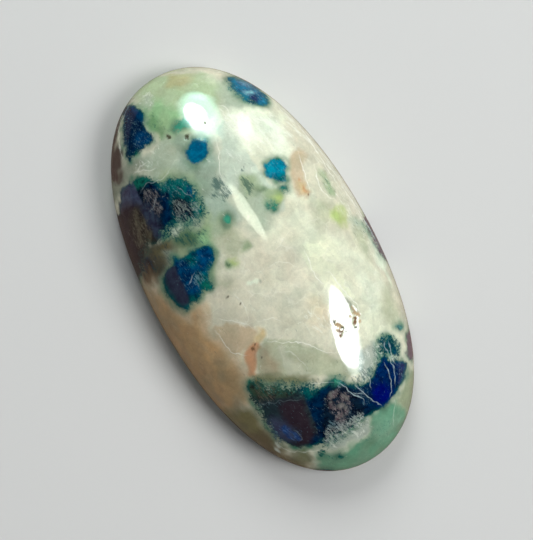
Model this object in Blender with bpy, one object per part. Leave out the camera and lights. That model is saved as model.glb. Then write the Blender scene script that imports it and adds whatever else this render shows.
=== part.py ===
"""A polished oval cabochon of hauyne-bearing rock, cut as one solid stone.

Run with blender --background --python part.py, or from the Text editor. Units are metres and +Z is up.
The stone lies on its flat back. The origin is the middle of that back, and +X runs along the stone.
"""

import math

import bmesh
import bpy

# Driving dimensions, in metres
LENGTH = 0.0360
WIDTH = 0.0190
THICKNESS = 0.0078
BACK_CHAMFER = 0.0005
GIRDLE_HEIGHT = 0.0007

# A hand-cut oval stands a little proud of a true ellipse between its long and short axes.
SHOULDER = 0.016

# How finely the curves are divided
STEPS_ROUND = 96
STEPS_UP_THE_DOME = 22
CROWN_PATCH_SHARE = 0.035

# Edges that turn by more than this, round the chamfer, are shaded as corners.
CORNER_ANGLE = math.radians(30)

# Stone finish, from the photograph
STONE_COLOUR = (0.63, 0.66, 0.54, 1.0)
STONE_ROUGHNESS = 0.12


def clear_scene():
    for item in list(bpy.data.objects):
        bpy.data.objects.remove(item, do_unlink=True)


def oval_point(angle, share, height, inward=0.0):
    """A point on the oval at this angle, at a share of the full outline and moved inward by a length.

    The outline is an ellipse stretched by 1 + SHOULDER * (1 - cos 4a), which is 1 on both axes.
    The stretch fades with the fourth power of the share, so the crown of the dome is a plain ellipsoid.
    """
    stretch = 1.0 + SHOULDER * (1.0 - math.cos(4.0 * angle)) * share**4
    half_length = LENGTH / 2 - inward
    half_width = WIDTH / 2 - inward
    x = half_length * share * stretch * math.cos(angle)
    y = half_width * share * stretch * math.sin(angle)
    return x, y, height


def add_ring(mesh, share, height, inward=0.0):
    """Adds one closed ring of vertices round the stone and returns its edges."""
    angles = [2.0 * math.pi * step / STEPS_ROUND for step in range(STEPS_ROUND)]
    ring = [mesh.verts.new(oval_point(angle, share, height, inward)) for angle in angles]
    return [mesh.edges.new((ring[i - 1], ring[i])) for i in range(STEPS_ROUND)]


def dome_rings():
    """Share of the outline and height of each ring from the girdle up to the crown.

    The section is a quarter of an ellipse: at angle t the ring has share cos t and stands sin t of the
    dome's height above the girdle. The last ring is small and leaves a round patch for the crown.
    """
    foot = BACK_CHAMFER + GIRDLE_HEIGHT
    rise = THICKNESS - foot
    last = math.acos(CROWN_PATCH_SHARE)
    for step in range(STEPS_UP_THE_DOME + 1):
        t = last * step / STEPS_UP_THE_DOME
        yield math.cos(t), foot + rise * math.sin(t)


def close_crown(mesh, ring):
    """Fills the small ring at the top and lifts the middle of the patch to the full thickness."""
    patch = bmesh.ops.contextual_create(mesh, geom=ring)["faces"]
    middle = bmesh.ops.poke(mesh, faces=patch)["verts"]
    middle[0].co = (0.0, 0.0, THICKNESS)


def stone_mesh():
    """The stone as one closed surface: flat back, chamfer, upright girdle and dome."""
    mesh = bmesh.new()
    back = add_ring(mesh, 1.0, 0.0, inward=BACK_CHAMFER)
    bmesh.ops.contextual_create(mesh, geom=back)
    below = add_ring(mesh, 1.0, BACK_CHAMFER)
    bmesh.ops.bridge_loops(mesh, edges=back + below)
    for share, height in dome_rings():
        ring = add_ring(mesh, share, height)
        bmesh.ops.bridge_loops(mesh, edges=below + ring)
        below = ring
    close_crown(mesh, below)
    bmesh.ops.recalc_face_normals(mesh, faces=mesh.faces)
    made = bpy.data.meshes.new("cabochon")
    mesh.to_mesh(made)
    mesh.free()
    made.shade_smooth()
    made.set_sharp_from_angle(angle=CORNER_ANGLE)
    return made


def stone_material():
    material = bpy.data.materials.new("polished_stone")
    material.use_nodes = True
    surface = material.node_tree.nodes["Principled BSDF"]
    surface.inputs["Base Color"].default_value = STONE_COLOUR
    surface.inputs["Roughness"].default_value = STONE_ROUGHNESS
    surface.inputs["Metallic"].default_value = 0.0
    return material


def main():
    clear_scene()
    stone = bpy.data.objects.new("cabochon", stone_mesh())
    stone.data.materials.append(stone_material())
    bpy.context.scene.collection.objects.link(stone)


main()
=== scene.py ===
# %% [markdown]
# # A hauyne cabochon
# The real thing is one piece of pale rock with deep blue hauyne crystals grown in it, ground to an oval
# and polished. This lesson loads the plain cut stone, and then gives it a fine surface, a pattern that is
# painted from a few outlines, and a polished finish. Lengths in the lesson are in millimetres,
# and they become metres only where Blender gets them.

# %% Load the cut stone
import math

import bpy
import numpy as np
from mathutils import Matrix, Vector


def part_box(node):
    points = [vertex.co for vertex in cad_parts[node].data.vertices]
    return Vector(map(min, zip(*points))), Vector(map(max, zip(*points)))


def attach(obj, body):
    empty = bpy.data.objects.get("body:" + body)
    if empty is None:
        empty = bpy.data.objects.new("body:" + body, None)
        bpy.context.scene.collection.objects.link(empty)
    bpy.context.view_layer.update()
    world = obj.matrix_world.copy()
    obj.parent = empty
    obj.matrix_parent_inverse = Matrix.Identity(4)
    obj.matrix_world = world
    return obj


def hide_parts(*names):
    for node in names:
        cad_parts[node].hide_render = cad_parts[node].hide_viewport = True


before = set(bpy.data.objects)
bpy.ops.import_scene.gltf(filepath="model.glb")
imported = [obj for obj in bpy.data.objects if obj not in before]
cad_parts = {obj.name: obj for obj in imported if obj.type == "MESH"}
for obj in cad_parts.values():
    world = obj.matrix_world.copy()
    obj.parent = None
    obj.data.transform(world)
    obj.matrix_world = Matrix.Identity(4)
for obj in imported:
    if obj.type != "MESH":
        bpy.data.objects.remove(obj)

MM = 0.001
low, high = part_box("cabochon")
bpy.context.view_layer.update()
HALF_LENGTH = (high.x - low.x) / 2 / MM
HALF_WIDTH = (high.y - low.y) / 2 / MM
THICKNESS = (high.z - low.z) / MM
print(f"The stone is {2 * HALF_LENGTH:.1f} x {2 * HALF_WIDTH:.1f} x {THICKNESS:.1f} mm")

# %% [markdown]
# ## The camera
# The camera looks almost straight down on the dome and leans a few degrees to one side. Its turn is
# given by the angle that the stone's long axis makes in the picture. The lens is worked out from the
# picture: the stone is so many pixels long there, and so many millimetres long in life.

# %% Set up the camera
PICTURE_WIDTH_PX, PICTURE_HEIGHT_PX = 533, 540
STONE_LENGTH_PX = 438.6
STONE_CENTRE_PX = (262.9, 269.3)
LONG_AXIS_TURN = math.radians(60.9)
CAMERA_LEAN = math.radians(3.0)
CAMERA_DISTANCE = 170.0
GIRDLE_TOP = 1.2
SENSOR = 36.0


def unit(vector):
    """The same direction with a length of 1."""
    return np.asarray(vector, float) / np.linalg.norm(vector)


def put(thing, axes, place):
    """Links an object into the scene with these right, up and back directions, at a place in mm."""
    turn = np.eye(4)
    turn[:3, :3] = np.transpose(axes)
    turn[:3, 3] = np.multiply(place, MM)
    bpy.context.scene.collection.objects.link(thing)
    thing.matrix_world = Matrix(turn.tolist())


def camera_axes():
    """The picture's right and up directions and the way back to the camera, on the stone's own axes."""
    right = np.array([math.cos(LONG_AXIS_TURN), math.sin(LONG_AXIS_TURN), 0.0])
    up = np.array([-math.sin(LONG_AXIS_TURN), math.cos(LONG_AXIS_TURN), 0.0])
    back = math.cos(CAMERA_LEAN) * np.array([0.0, 0.0, 1.0]) - math.sin(CAMERA_LEAN) * right
    up = unit(up - (up @ back) * back)
    return np.cross(up, back), up, back


def place_camera():
    """Makes the camera and returns where it stands."""
    right, up, back = camera_axes()
    pixels_per_mm = STONE_LENGTH_PX / (2 * HALF_LENGTH)
    off_right = (PICTURE_WIDTH_PX / 2 - STONE_CENTRE_PX[0]) / pixels_per_mm
    off_down = (PICTURE_HEIGHT_PX / 2 - STONE_CENTRE_PX[1]) / pixels_per_mm
    aim = np.array([0.0, 0.0, GIRDLE_TOP]) + off_right * right - off_down * up
    data = bpy.data.cameras.new("camera")
    data.sensor_width = SENSOR
    data.lens = pixels_per_mm * CAMERA_DISTANCE * SENSOR / max(PICTURE_WIDTH_PX, PICTURE_HEIGHT_PX)
    data.clip_start, data.clip_end = 0.01, 10.0
    camera = bpy.data.objects.new("camera", data)
    place = aim + CAMERA_DISTANCE * back
    put(camera, (right, up, back), place)
    bpy.context.scene.camera = camera
    return place


EYE = place_camera()
print("The camera stands at", np.round(EYE, 1), "mm")

# %% [markdown]
# ## Light
# A polished stone shows its lamps as bright shapes, so each lamp is placed by its reflection. For a place
# on the dome, the way to the camera is mirrored in the surface there, and the lamp stands out along the
# mirrored line. The dome is part of an ellipsoid, so the surface direction has a short formula.

# %% Find where a lamp stands to be seen in the polish
DOME_RISE = THICKNESS - GIRDLE_TOP
LAMP_DISTANCE = 500.0
LAMP_SPACING = 2.0


def dome_height(x, y):
    """Height of the dome over a place: the ellipsoid z = rise * sqrt(1 - (x/a)^2 - (y/b)^2)."""
    share = (x / HALF_LENGTH) ** 2 + (y / HALF_WIDTH) ** 2
    return GIRDLE_TOP + DOME_RISE * math.sqrt(max(0.0, 1.0 - share))


def mirrored_way(x, y):
    """The place on the dome over (x, y), and the direction in which the camera sees a reflection there."""
    place = np.array([x, y, dome_height(x, y)])
    outward = unit([x / HALF_LENGTH**2, y / HALF_WIDTH**2, (place[2] - GIRDLE_TOP) / DOME_RISE**2])
    to_eye = unit(EYE - place)
    return place, 2.0 * (outward @ to_eye) * outward - to_eye


WHITE = (1.0, 1.0, 1.0)


def lamp(name, seen_at, centre, size, turn, brightness, shape="ELLIPSE", seen=True, lights_body=False,
         colour=WHITE):
    """An area lamp that stands out along the mirrored way from a place on the dome.

    Its centre is shifted from there by so many mm, level and up, and its size is in mm and its turn in
    degrees. Its brightness is that of its own surface. Each lamp stands a little behind the one before,
    because lamps in one plane hide each other, and otherwise they shine through and add up.
    """
    place, way = mirrored_way(*seen_at)
    level = unit(np.cross([0.0, 0.0, 1.0], way))
    rise = np.cross(way, level)
    angle = math.radians(turn)
    across = math.cos(angle) * level + math.sin(angle) * rise
    data = bpy.data.lights.new(name, "AREA")
    data.shape = shape
    data.size, data.size_y = size[0] * MM, size[1] * MM
    covered = math.pi / 4 if shape == "ELLIPSE" else 1.0
    data.energy = brightness * math.pi * data.size * data.size_y * covered
    data.color = colour
    made = bpy.data.objects.new(name, data)
    distance = LAMP_DISTANCE + LAMP_SPACING * len(bpy.data.lights)
    spot = place + distance * way + centre[0] * level + centre[1] * rise
    put(made, (across, np.cross(way, across), way), spot)
    made.visible_camera = False
    made.visible_glossy = seen
    made.visible_diffuse = lights_body
    return made


LENS_AT, END_AT, WINDOW_AT = (7.1, 3.1), (-13.6, 1.3), (-5.0, 4.5)
HALO, SHEEN, PALE_BLUE = (0.55, 1.0, 0.88), (0.95, 1.0, 0.8), (0.8, 1.0, 1.0)
HAZE_STEPS, HAZE_GROWTH = 5, 28
lamp("lens_glint", LENS_AT, (-9, -3), (242, 144), 160, 18)
lamp("lens_haze", LENS_AT, (-22, -7), (246, 170), 172, 6.0, colour=PALE_BLUE)
lamp("end_glint", END_AT, (28, 20), (158, 140), 63, 18)
for step in range(HAZE_STEPS):
    wider = HAZE_GROWTH * step
    lamp(f"end_haze_{step}", END_AT, (-4, -12), (250 + wider, 175 + wider), 72, 2.6, colour=HALO)
lamp("end_haze_top", END_AT, (-60, -125), (200, 80), 8, 3.0, colour=HALO)
lamp("left_spot", WINDOW_AT, (172, -90), (70, 230), 10, 5.0, colour=SHEEN)
lamp("spindle", WINDOW_AT, (103, 384), (192, 104), 3, 9.5, colour=SHEEN)
lamp("body_right", LENS_AT, (0, 0), (300, 300), 0, 7.6, seen=False, lights_body=True)
lamp("body_left", END_AT, (0, 0), (300, 300), 0, 8.0, seen=False, lights_body=True)
lamp("body_above", WINDOW_AT, (0, 0), (400, 400), 0, 0.9, seen=False, lights_body=True)

# %% The room's own light
world = bpy.data.worlds.new("room")
bpy.context.scene.world = world
world.use_nodes = True
world.node_tree.nodes["Background"].inputs["Color"].default_value = (0.80, 0.82, 0.85, 1.0)
world.node_tree.nodes["Background"].inputs["Strength"].default_value = 0.2

# The room lights the stone but isn't mirrored in it, so that only the lamps draw shapes in the polish.
world.cycles_visibility.glossy = False
bpy.context.scene.view_settings.view_transform = "Standard"

# %% [markdown]
# ## The fine surface
# A dome could be made with a subdivided sphere, but its poles pinch and its points crowd there. This net
# is the ellipsoid's own: one set of lines runs round the stone, and the other climbs from the girdle to a
# short line along the crest. Nothing meets in a single point, and the spacing stays nearly even.

# %% Lay out the net
SHOULDER = 0.016
CHAMFER = 0.5
ROUND = 720
DOME_RINGS = 98
EDGE_RINGS = 7
BACK_RINGS = 30
EDGE_SOFTNESS = 1.6


def oval_net(sweep, around, half_length, half_width):
    """Points of the net on a plain oval, and how high the dome stands there as a share of its rise.

    x = sqrt(c^2 + b^2 sin^2 t) cos n, y = b sin t sin n, rise share = cos t sqrt(b^2 + c^2 sin^2 n) / a,
    where a and b are the half length and half width, c^2 = a^2 - b^2, t is the sweep and n goes around.
    """
    c_squared = half_length**2 - half_width**2
    x = np.sqrt(c_squared + (half_width * np.sin(sweep)) ** 2) * np.cos(around)
    y = half_width * np.sin(sweep) * np.sin(around)
    share = np.cos(sweep) * np.sqrt(half_width**2 + c_squared * np.sin(around) ** 2) / half_length
    return x, y, share


def fuller_shoulders(x, y, half_length, half_width):
    """Moves points outward by the factor 1 + SHOULDER (1 - cos 4a) s^4, as the hand-cut outline is."""
    share = np.hypot(x / half_length, y / half_width)
    angle = np.arctan2(y / half_width, x / half_length)
    stretch = 1.0 + SHOULDER * (1.0 - np.cos(4.0 * angle)) * share**4
    return x * stretch, y * stretch


def net_points():
    """Three bands of rings: the dome from crest to girdle, the worn edge, and the back from rim to middle."""
    around = np.linspace(0.0, 2.0 * math.pi, ROUND, endpoint=False)
    x, y, share = oval_net(np.linspace(0.0, math.pi / 2, DOME_RINGS)[:, None], around, HALF_LENGTH, HALF_WIDTH)
    x, y = fuller_shoulders(x, y, HALF_LENGTH, HALF_WIDTH)
    bands = [np.stack([x, y, GIRDLE_TOP + DOME_RISE * share], axis=-1)]
    for part in np.linspace(0.0, 1.0, EDGE_RINGS) * math.pi / 2:
        inset = CHAMFER * (1.0 - math.cos(part) ** EDGE_SOFTNESS)
        height = CHAMFER * (1.0 - math.sin(part) ** EDGE_SOFTNESS)
        x, y, _ = oval_net(math.pi / 2, around, HALF_LENGTH - inset, HALF_WIDTH - inset)
        x, y = fuller_shoulders(x, y, HALF_LENGTH - inset, HALF_WIDTH - inset)
        bands.append(np.stack([x, y, np.full_like(x, height)], axis=-1)[None])
    sweep = np.linspace(math.pi / 2, 0.0, BACK_RINGS + 1)[1:, None]
    x, y, _ = oval_net(sweep, around, HALF_LENGTH - CHAMFER, HALF_WIDTH - CHAMFER)
    x, y = fuller_shoulders(x, y, HALF_LENGTH - CHAMFER, HALF_WIDTH - CHAMFER)
    bands.append(np.stack([x, y, np.zeros_like(x)], axis=-1))
    return np.concatenate(bands)


def stitched(net):
    """The net as one list of points, with the two folded end rings closed into lines, and its squares."""
    rings, around = net.shape[:2]
    half = around // 2 + 1
    points = np.concatenate([net[0, :half], net[1:-1].reshape(-1, 3), net[-1, :half]])
    step = np.arange(around)
    folded = np.minimum(step, around - step)
    middle = half + np.arange((rings - 2) * around).reshape(rings - 2, around)
    index = np.vstack([folded, middle, half + (rings - 2) * around + folded])
    beside = np.roll(index, -1, axis=1)
    squares = np.stack([index[:-1], index[1:], beside[1:], beside[:-1]], axis=-1).reshape(-1, 4)
    return points, squares


plain_points, squares = stitched(net_points())
print(f"The net has {len(plain_points)} points and {2 * len(squares)} triangles")

# %% [markdown]
# ## Outlines drawn one by one
# The crystals aren't random: each has a place and a shape. A picture could be wrapped on the stone, but
# then it would only ever be as sharp as its pixels. Here each shape is a few points in millimetres on the
# plan of the stone, joined by a smooth curve. Every point of the net then gets its depth inside the curve,
# and the material cuts its crisp, ragged edges from that depth.

# %% Depth inside an outline
REACH = 2.5


def smooth_curve(points, closed=True, steps=8):
    """A Catmull-Rom curve through the points: each span bends as its two neighbours suggest."""
    b = np.asarray(points, float)
    if not closed:
        b = np.vstack([2 * b[0] - b[1], b, 2 * b[-1] - b[-2]])
    a, c, d = np.roll(b, 1, 0), np.roll(b, -1, 0), np.roll(b, -2, 0)
    t = np.linspace(0.0, 1.0, steps, endpoint=False)[:, None, None]
    curve = 0.5 * (2 * b + (c - a) * t + (2 * a - 5 * b + 4 * c - d) * t**2 + (3 * b - a - 3 * c + d) * t**3)
    curve = curve.transpose(1, 0, 2)
    if not closed:
        return np.vstack([curve[1:-2].reshape(-1, 2), b[-2]])
    return curve.reshape(-1, 2)


def oval(x, y, half_x, half_y, turn=0.0):
    """Eight points round an ellipse, as an outline. The turn is in degrees."""
    a = np.arange(8) * math.pi / 4
    t = math.radians(turn)
    u, v = half_x * np.cos(a), half_y * np.sin(a)
    return np.stack([x + u * math.cos(t) - v * math.sin(t), y + u * math.sin(t) + v * math.cos(t)], axis=-1)


def depth_inside(points, outline):
    """Distance of each point to the outline in mm, on plan: positive inside and negative outside."""
    start = smooth_curve(outline)
    end = np.roll(start, -1, axis=0)
    depth = np.full(len(points), -REACH)
    plan = points[:, :2]
    near = np.all((plan > start.min(0) - REACH) & (plan < start.max(0) + REACH), axis=1)
    x, y = plan[near, 0][:, None], plan[near, 1][:, None]
    edge = end - start
    along = ((x - start[:, 0]) * edge[:, 0] + (y - start[:, 1]) * edge[:, 1]) / (edge**2).sum(1)
    along = np.clip(along, 0.0, 1.0)
    gap = np.hypot(x - start[:, 0] - along * edge[:, 0], y - start[:, 1] - along * edge[:, 1]).min(1)
    level = (start[:, 1] > y) != (end[:, 1] > y)
    slope = edge[:, 0] / np.where(edge[:, 1] == 0.0, 1e-9, edge[:, 1])
    crossed = level & (x < slope * (y - start[:, 1]) + start[:, 0])
    depth[near] = np.clip(np.where(crossed.sum(1) % 2 == 1, gap, -gap), -REACH, REACH)
    return depth


def side_of_line(points, line):
    """Signed distance in mm to an open curve on plan, and how near its ends the point is: 0 at an end."""
    curve = smooth_curve(line, closed=False)
    start, edge = curve[:-1], np.diff(curve, axis=0)
    aside = np.full(len(points), REACH)
    share = np.zeros(len(points))
    plan = points[:, :2]
    near = np.all((plan > curve.min(0) - REACH) & (plan < curve.max(0) + REACH), axis=1)
    x, y = plan[near, 0][:, None] - start[:, 0], plan[near, 1][:, None] - start[:, 1]
    along = np.clip((x * edge[:, 0] + y * edge[:, 1]) / (edge**2).sum(1), 0.0, 1.0)
    gap = np.hypot(x - along * edge[:, 0], y - along * edge[:, 1])
    best = gap.argmin(1)
    row = np.arange(len(best))
    side = np.sign(x[row, best] * edge[best, 1] - y[row, best] * edge[best, 0])
    aside[near] = gap[row, best] * side
    run = (best + along[row, best]) / len(edge)
    share[near] = np.clip(4.0 * np.minimum(run, 1.0 - run), 0.0, 1.0)
    return aside, share


def ripples(points, wavelength, seed, waves=16):
    """A smooth unevenness of about -1 to 1: the sum of sine waves in random directions."""
    dice = np.random.default_rng(seed)
    total = np.zeros(len(points))
    for _ in range(waves):
        way = unit(dice.normal(size=3)) / (wavelength * dice.uniform(0.6, 1.7))
        total += np.sin(2.0 * math.pi * (points @ way + dice.uniform()))
    return total / math.sqrt(waves)


def smooth_step(low_end, high_end, value):
    """0 below the low end, 1 above the high end, and an S-shaped climb between them."""
    t = np.clip((value - low_end) / (high_end - low_end), 0.0, 1.0)
    return t * t * (3.0 - 2.0 * t)

# %% [markdown]
# ## Crystals
# Hauyne is the deep blue mineral here. Its crystals are angular where they grew freely and lobed where
# they grew together, and they run on down the side wall where the cut meets them. Each outline below is
# one crystal, seen from above. A foot says how far down the side a crystal reaches. Those in the side wall
# and in the back can't be placed by a plan outline, so they are uneven ellipsoids.

# %% Crystal outlines
CRYSTALS = {
    "corner": [(-17, -3.5), (-16.8, -2.9), (-16.3, -2.6), (-15.8, -2.45), (-15.1, -2.75), (-14.4, -2.9),
               (-13.7, -2.8), (-13.35, -2.95), (-13.25, -3.6), (-13.2, -4.4), (-12.9, -5.1), (-13, -5.3),
               (-14.1, -5.05), (-15.3, -4.6), (-16.2, -4.1)],
    "left grain": [(-11.8, -0.1), (-11.65, 0.4), (-11.25, 0.78), (-10.65, 0.62), (-10.2, 0.15), (-10, -0.4),
                   (-9.98, -0.85), (-10.3, -1.12), (-10.85, -1.2), (-11.3, -0.95), (-11.6, -0.5)],
    "chip": [(-13.3, -1.05), (-13.65, -0.5), (-13.65, 0.1), (-13.6, 0.5), (-13.25, 0.55), (-13.1, 0), (-13.1, -0.6)],
    "right grain": [(-7.45, 4.4), (-7.35, 4.9), (-7.05, 5.3), (-6.6, 5.45), (-6.2, 5.35), (-6, 5.05),
                    (-5.65, 4.95), (-5.38, 4.75), (-5.4, 4.4), (-5.7, 4.1), (-6.1, 3.95), (-6.4, 3.7),
                    (-6.8, 3.7), (-7.2, 3.9)],
    "rim pair": [(-15, 4.9), (-14.7, 5.6), (-14.1, 6.2), (-13.5, 6.6), (-12.75, 6.9), (-12, 7), (-11.5, 6.8),
                 (-11.6, 6.3), (-12, 5.8), (-12.45, 5.4), (-13, 5.1), (-13.4, 5), (-13.8, 4.8), (-14.4, 4.85)],
    "boot": [(-3.8, -3.1), (-3.5, -2.95), (-3.1, -3), (-2.7, -3.2), (-2.5, -3.6), (-2.3, -3.95), (-1.9, -4.2),
             (-1.4, -4.3), (-0.95, -4.45), (-0.75, -4.7), (-1, -5.15), (-0.7, -5.5), (-0.48, -6), (-0.45, -6.5),
             (-0.15, -7.1), (-0.6, -7.45), (-1.1, -7.7), (-1.8, -7.88), (-2.6, -7.85), (-3.2, -7.55),
             (-3.65, -7.1), (-3.9, -6.6), (-4.15, -6.15), (-4.6, -6.05), (-4.2, -5.75), (-4.05, -5.2),
             (-4.2, -4.7), (-4.15, -4.1), (-4.05, -3.6)],
    "left mass": [(-11.4, -5.9), (-11.35, -5.2), (-10.9, -4.7), (-10.4, -4.3), (-9.9, -4), (-10, -3.4), (-9.8, -2.7),
                  (-9.2, -2.1), (-8.6, -1.9), (-7.9, -2), (-7, -2.1), (-6.4, -2.4), (-6.1, -3.1), (-6.4, -4),
                  (-6.6, -4.8), (-6.2, -5.6), (-6.2, -6.1), (-7.2, -6.4), (-8.3, -6.5), (-9.2, -6.5),
                  (-10.4, -6.4), (-11.1, -6.2)],
    "left violet": [(-10.6, -7.5), (-11.15, -7.1), (-11.35, -6.5), (-11.2, -5.9), (-10.1, -5.7), (-9.1, -5.6),
                    (-7.5, -5.6), (-6.4, -5.7), (-6.1, -6.3), (-6.1, -7.1), (-5.4, -7.9), (-4.7, -8.6),
                    (-4.6, -9.4), (-7, -9.4), (-9.2, -8.8), (-9.8, -8)],
    "upper grain": [(9.5, 5), (9.3, 5.5), (9.5, 6), (10.1, 6.3), (10.7, 6.4), (11.2, 6.2), (11.25, 5.7),
                    (10.8, 5.4), (10.5, 5), (10.1, 4.9)],
    "lower mass": [(7.4, -5.9), (7.2, -5.3), (7.8, -4.9), (8.3, -4.2), (8.7, -3.5), (9.3, -2.6), (9.7, -1.7),
                   (10.3, -1), (10.3, -0.2), (10.2, 0.5), (10.7, 1), (11.3, 1.4), (11.7, 2), (11.8, 2.6),
                   (11.6, 3.2), (11.3, 3.6), (10.9, 4.3), (10.75, 5), (11.3, 5.3), (11.6, 5.9), (12.2, 6.35),
                   (12.8, 6.15), (13.2, 5.6), (13.6, 4.9), (13.95, 4.3), (14.25, 3.5), (14.4, 2.8), (14.3, 2),
                   (14.35, 1.4), (14.4, 0.8), (14.6, -0.3), (14.7, -1.7), (14.6, -2.7), (14.3, -3.6),
                   (13.9, -4.6), (13.4, -5.2), (12.5, -5.7), (11.7, -5.9), (11, -5.95), (10, -5.95),
                   (9, -5.95), (8.2, -6)],
    "dots": [oval(-4.95, -0.85, 0.36, 0.3), oval(-4.15, 2.8, 0.32, 0.25),
             oval(9.4, 7.3, 0.32, 0.26), oval(-4.9, 4.35, 0.2, 0.26), oval(16.2, -2, 0.2, 0.22),
             oval(15.3, -3.2, 0.14, 0.12)],
    "long rim sliver": [(0.2, 9.4), (0.9, 9.05), (2, 8.95), (3.3, 8.95), (4.3, 9.1), (4.1, 10), (0.4, 10)],
    "short rim sliver": [(10.2, 7.75), (11.2, 7.1), (12.1, 6.75), (12.3, 7.1), (11.6, 7.9), (10.6, 8.4)],
}
WALL_FOOT = 1.5
DEEP_FOOT = {"left violet": 0.3, "left mass": 0.6, "lower mass": 2.0, "long rim sliver": 0.2,
             "short rim sliver": 0.2}
WALL_CRYSTALS = [
    # centre x, y, z and half sizes, in mm
    ((2.2, 9.6, 0.9), (1.9, 0.7, 1.5)),
    ((11.2, 7.8, 1.2), (1.2, 0.7, 1.7)),
    ((-6.5, -9.1, 1.2), (2.3, 0.9, 1.9)),
    ((16.9, -3.6, 1.2), (0.7, 1.3, 1.1)),
]
BACK_CRYSTALS = [
    # centre x, y and half sizes along x, y
    (-9.5, 2.2, 2.6, 1.5), (-8.0, 3.4, 1.4, 1.2), (-11.6, 1.4, 1.0, 0.9), (4.5, -2.8, 1.4, 2.0),
    (5.9, -1.6, 1.5, 0.9), (9.6, 3.1, 2.0, 1.0), (10.8, 4.0, 0.9, 1.2), (-2.6, 4.6, 0.9, 0.7),
    (-13.4, -2.6, 1.2, 0.8), (13.2, -1.4, 1.5, 2.4), (12.0, -3.4, 1.3, 0.9), (0.8, 5.4, 0.5, 0.4),
    (-5.0, -3.6, 0.9, 0.6), (-4.0, -4.3, 0.5, 0.6), (8.0, -5.2, 0.6, 0.4), (0.2, -0.8, 0.4, 0.5),
]
BACK_CRYSTAL_RISE = 1.2
BACK_TOP = 0.01
on_back = plain_points[:, 2] < BACK_TOP


def wavy(points, amount, wavelength, seed):
    """The points moved about on plan by smooth ripples, so that a shape drawn on them turns uneven."""
    shift = [amount * ripples(points, wavelength, seed + axis) for axis in (0, 1)]
    return points + np.stack([*shift, np.zeros(len(points))], axis=-1)


def depth_in_ellipsoid(points, centre, half_sizes):
    """About the depth in mm inside an ellipsoid: 1 - (distance from its centre in half sizes), times its
    smaller half size on plan."""
    spread = np.linalg.norm((points - centre) / half_sizes, axis=1)
    return (1.0 - spread) * min(half_sizes[:2])


def depth_in_crystals(points):
    """The greatest depth in mm inside any crystal, positive inside and negative outside."""
    deepest = np.full(len(points), -REACH)
    for name, outlines in CRYSTALS.items():
        foot = DEEP_FOOT.get(name, WALL_FOOT)
        below = np.maximum(0.0, foot - points[:, 2]) + 2 * REACH * on_back
        for outline in outlines if name == "dots" else [outlines]:
            deepest = np.maximum(deepest, depth_inside(points, outline) - below)
    for centre, half_sizes in WALL_CRYSTALS:
        deepest = np.maximum(deepest, depth_in_ellipsoid(points, centre, half_sizes))
    uneven = wavy(points, 0.5, 1.7, 83)
    for x, y, half_x, half_y in BACK_CRYSTALS:
        depth = depth_in_ellipsoid(uneven, (x, y, 0.0), (half_x, half_y, BACK_CRYSTAL_RISE))
        deepest = np.maximum(deepest, depth)
    return np.clip(deepest, -REACH, REACH)


def density(points, patches):
    """The greatest of the patches' densities at each point, each soft at its edge."""
    densest = np.zeros(len(points))
    for amount, outline, softness in patches:
        densest = np.maximum(densest, amount * smooth_step(-softness, softness, depth_inside(points, outline)))
    return densest


crystal_depth = depth_in_crystals(wavy(plain_points, 0.06, 0.8, 11))
FRAY = [
    # how much an edge comes apart into grains, with an outline and a softness
    (0.9, [(-8.6, -1.8), (-7.4, -3.2), (-7.2, -5), (-6.6, -6.3), (-5, -6), (-5, -2), (-7, -1.4)], 0.4),
    (0.5, [(-10.4, -2), (-9.4, -1.4), (-7.4, -1.6), (-8, -3), (-9.6, -4.4), (-11.6, -4.8)], 0.4),
    (0.9, [(6.6, -5), (8.8, -5.2), (10, -2.8), (10.6, -1.6), (10, -0.2), (8, -2), (6.6, -4)], 0.3),
    (0.8, [(13.8, 0.9), (15.4, 0.9), (15.6, -3), (14.6, -3.6), (13.8, -2)], 0.3),
    (0.6, [(10.2, 4.6), (10.8, 4.4), (11.6, 3.2), (11.8, 1.6), (10.8, 1.2), (9.6, 0.2), (10, 3)], 0.3),
    (0.7, oval(10.2, 5.8, 1.3, 1.1), 0.3),
    (0.25, oval(-13.2, -3.6, 0.7, 1.8), 0.3),
    (0.35, oval(-0.8, -5.6, 0.9, 1.8), 0.4),
    (0.5, oval(-13.6, 5.0, 1.8, 0.6, 20), 0.3),
    (0.7, oval(11.4, -5.9, 3.4, 0.5), 0.3),
    (0.6, oval(2.4, 9.1, 2.8, 0.5), 0.3),
    (0.6, oval(-4.6, 3.2, 0.9, 1.2), 0.3), (0.5, oval(-13.35, -0.3, 0.7, 1.1), 0.2),
    (0.8, [(-6.6, -6.2), (-6.4, -7), (-5, -7.6), (-4.4, -8.8), (-5.4, -9), (-7.4, -7.6)], 0.5),
]
fray = density(wavy(plain_points, 0.1, 0.8, 19), FRAY)
print(f"Crystals cover {100 * np.mean(crystal_depth[plain_points[:, 2] > 1.0] > 0):.0f}% of the dome's points")

# %% [markdown]
# ## Colour, laid on in washes
# Rock colour is soft and cloudy. It could be left to noise textures alone, but noise can't put the moss
# green at one end and the warm beige along one flank. So the rock is painted as in watercolour: a first
# coat, and then soft-edged washes one over another. The dark minerals get their own set of washes.
# Some washes are painted light: the beige along the lower flank is partly the rock's tone and partly
# painted shade, the dark tones at the lower rim are a painted reflection of dark surroundings, and the
# violet, wine and grey zones on the lower crystals are a painted reflection laid over their blue.

# %% Mix the paints
def paint(red, green, blue):
    """A colour on the usual 0 to 255 scale, as the linear light that Blender works with."""
    share = np.array([red, green, blue]) / 255.0
    return np.where(share <= 0.04045, share / 12.92, ((share + 0.055) / 1.055) ** 2.4)


# Rim brown and plum paint a reflection of dark surroundings at the lower-left rim, and flank brown paints a shadow
# near the rim at the other end. Beige, dull beige, flank green, smoke and dark smoke are partly painted shade as well.
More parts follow.
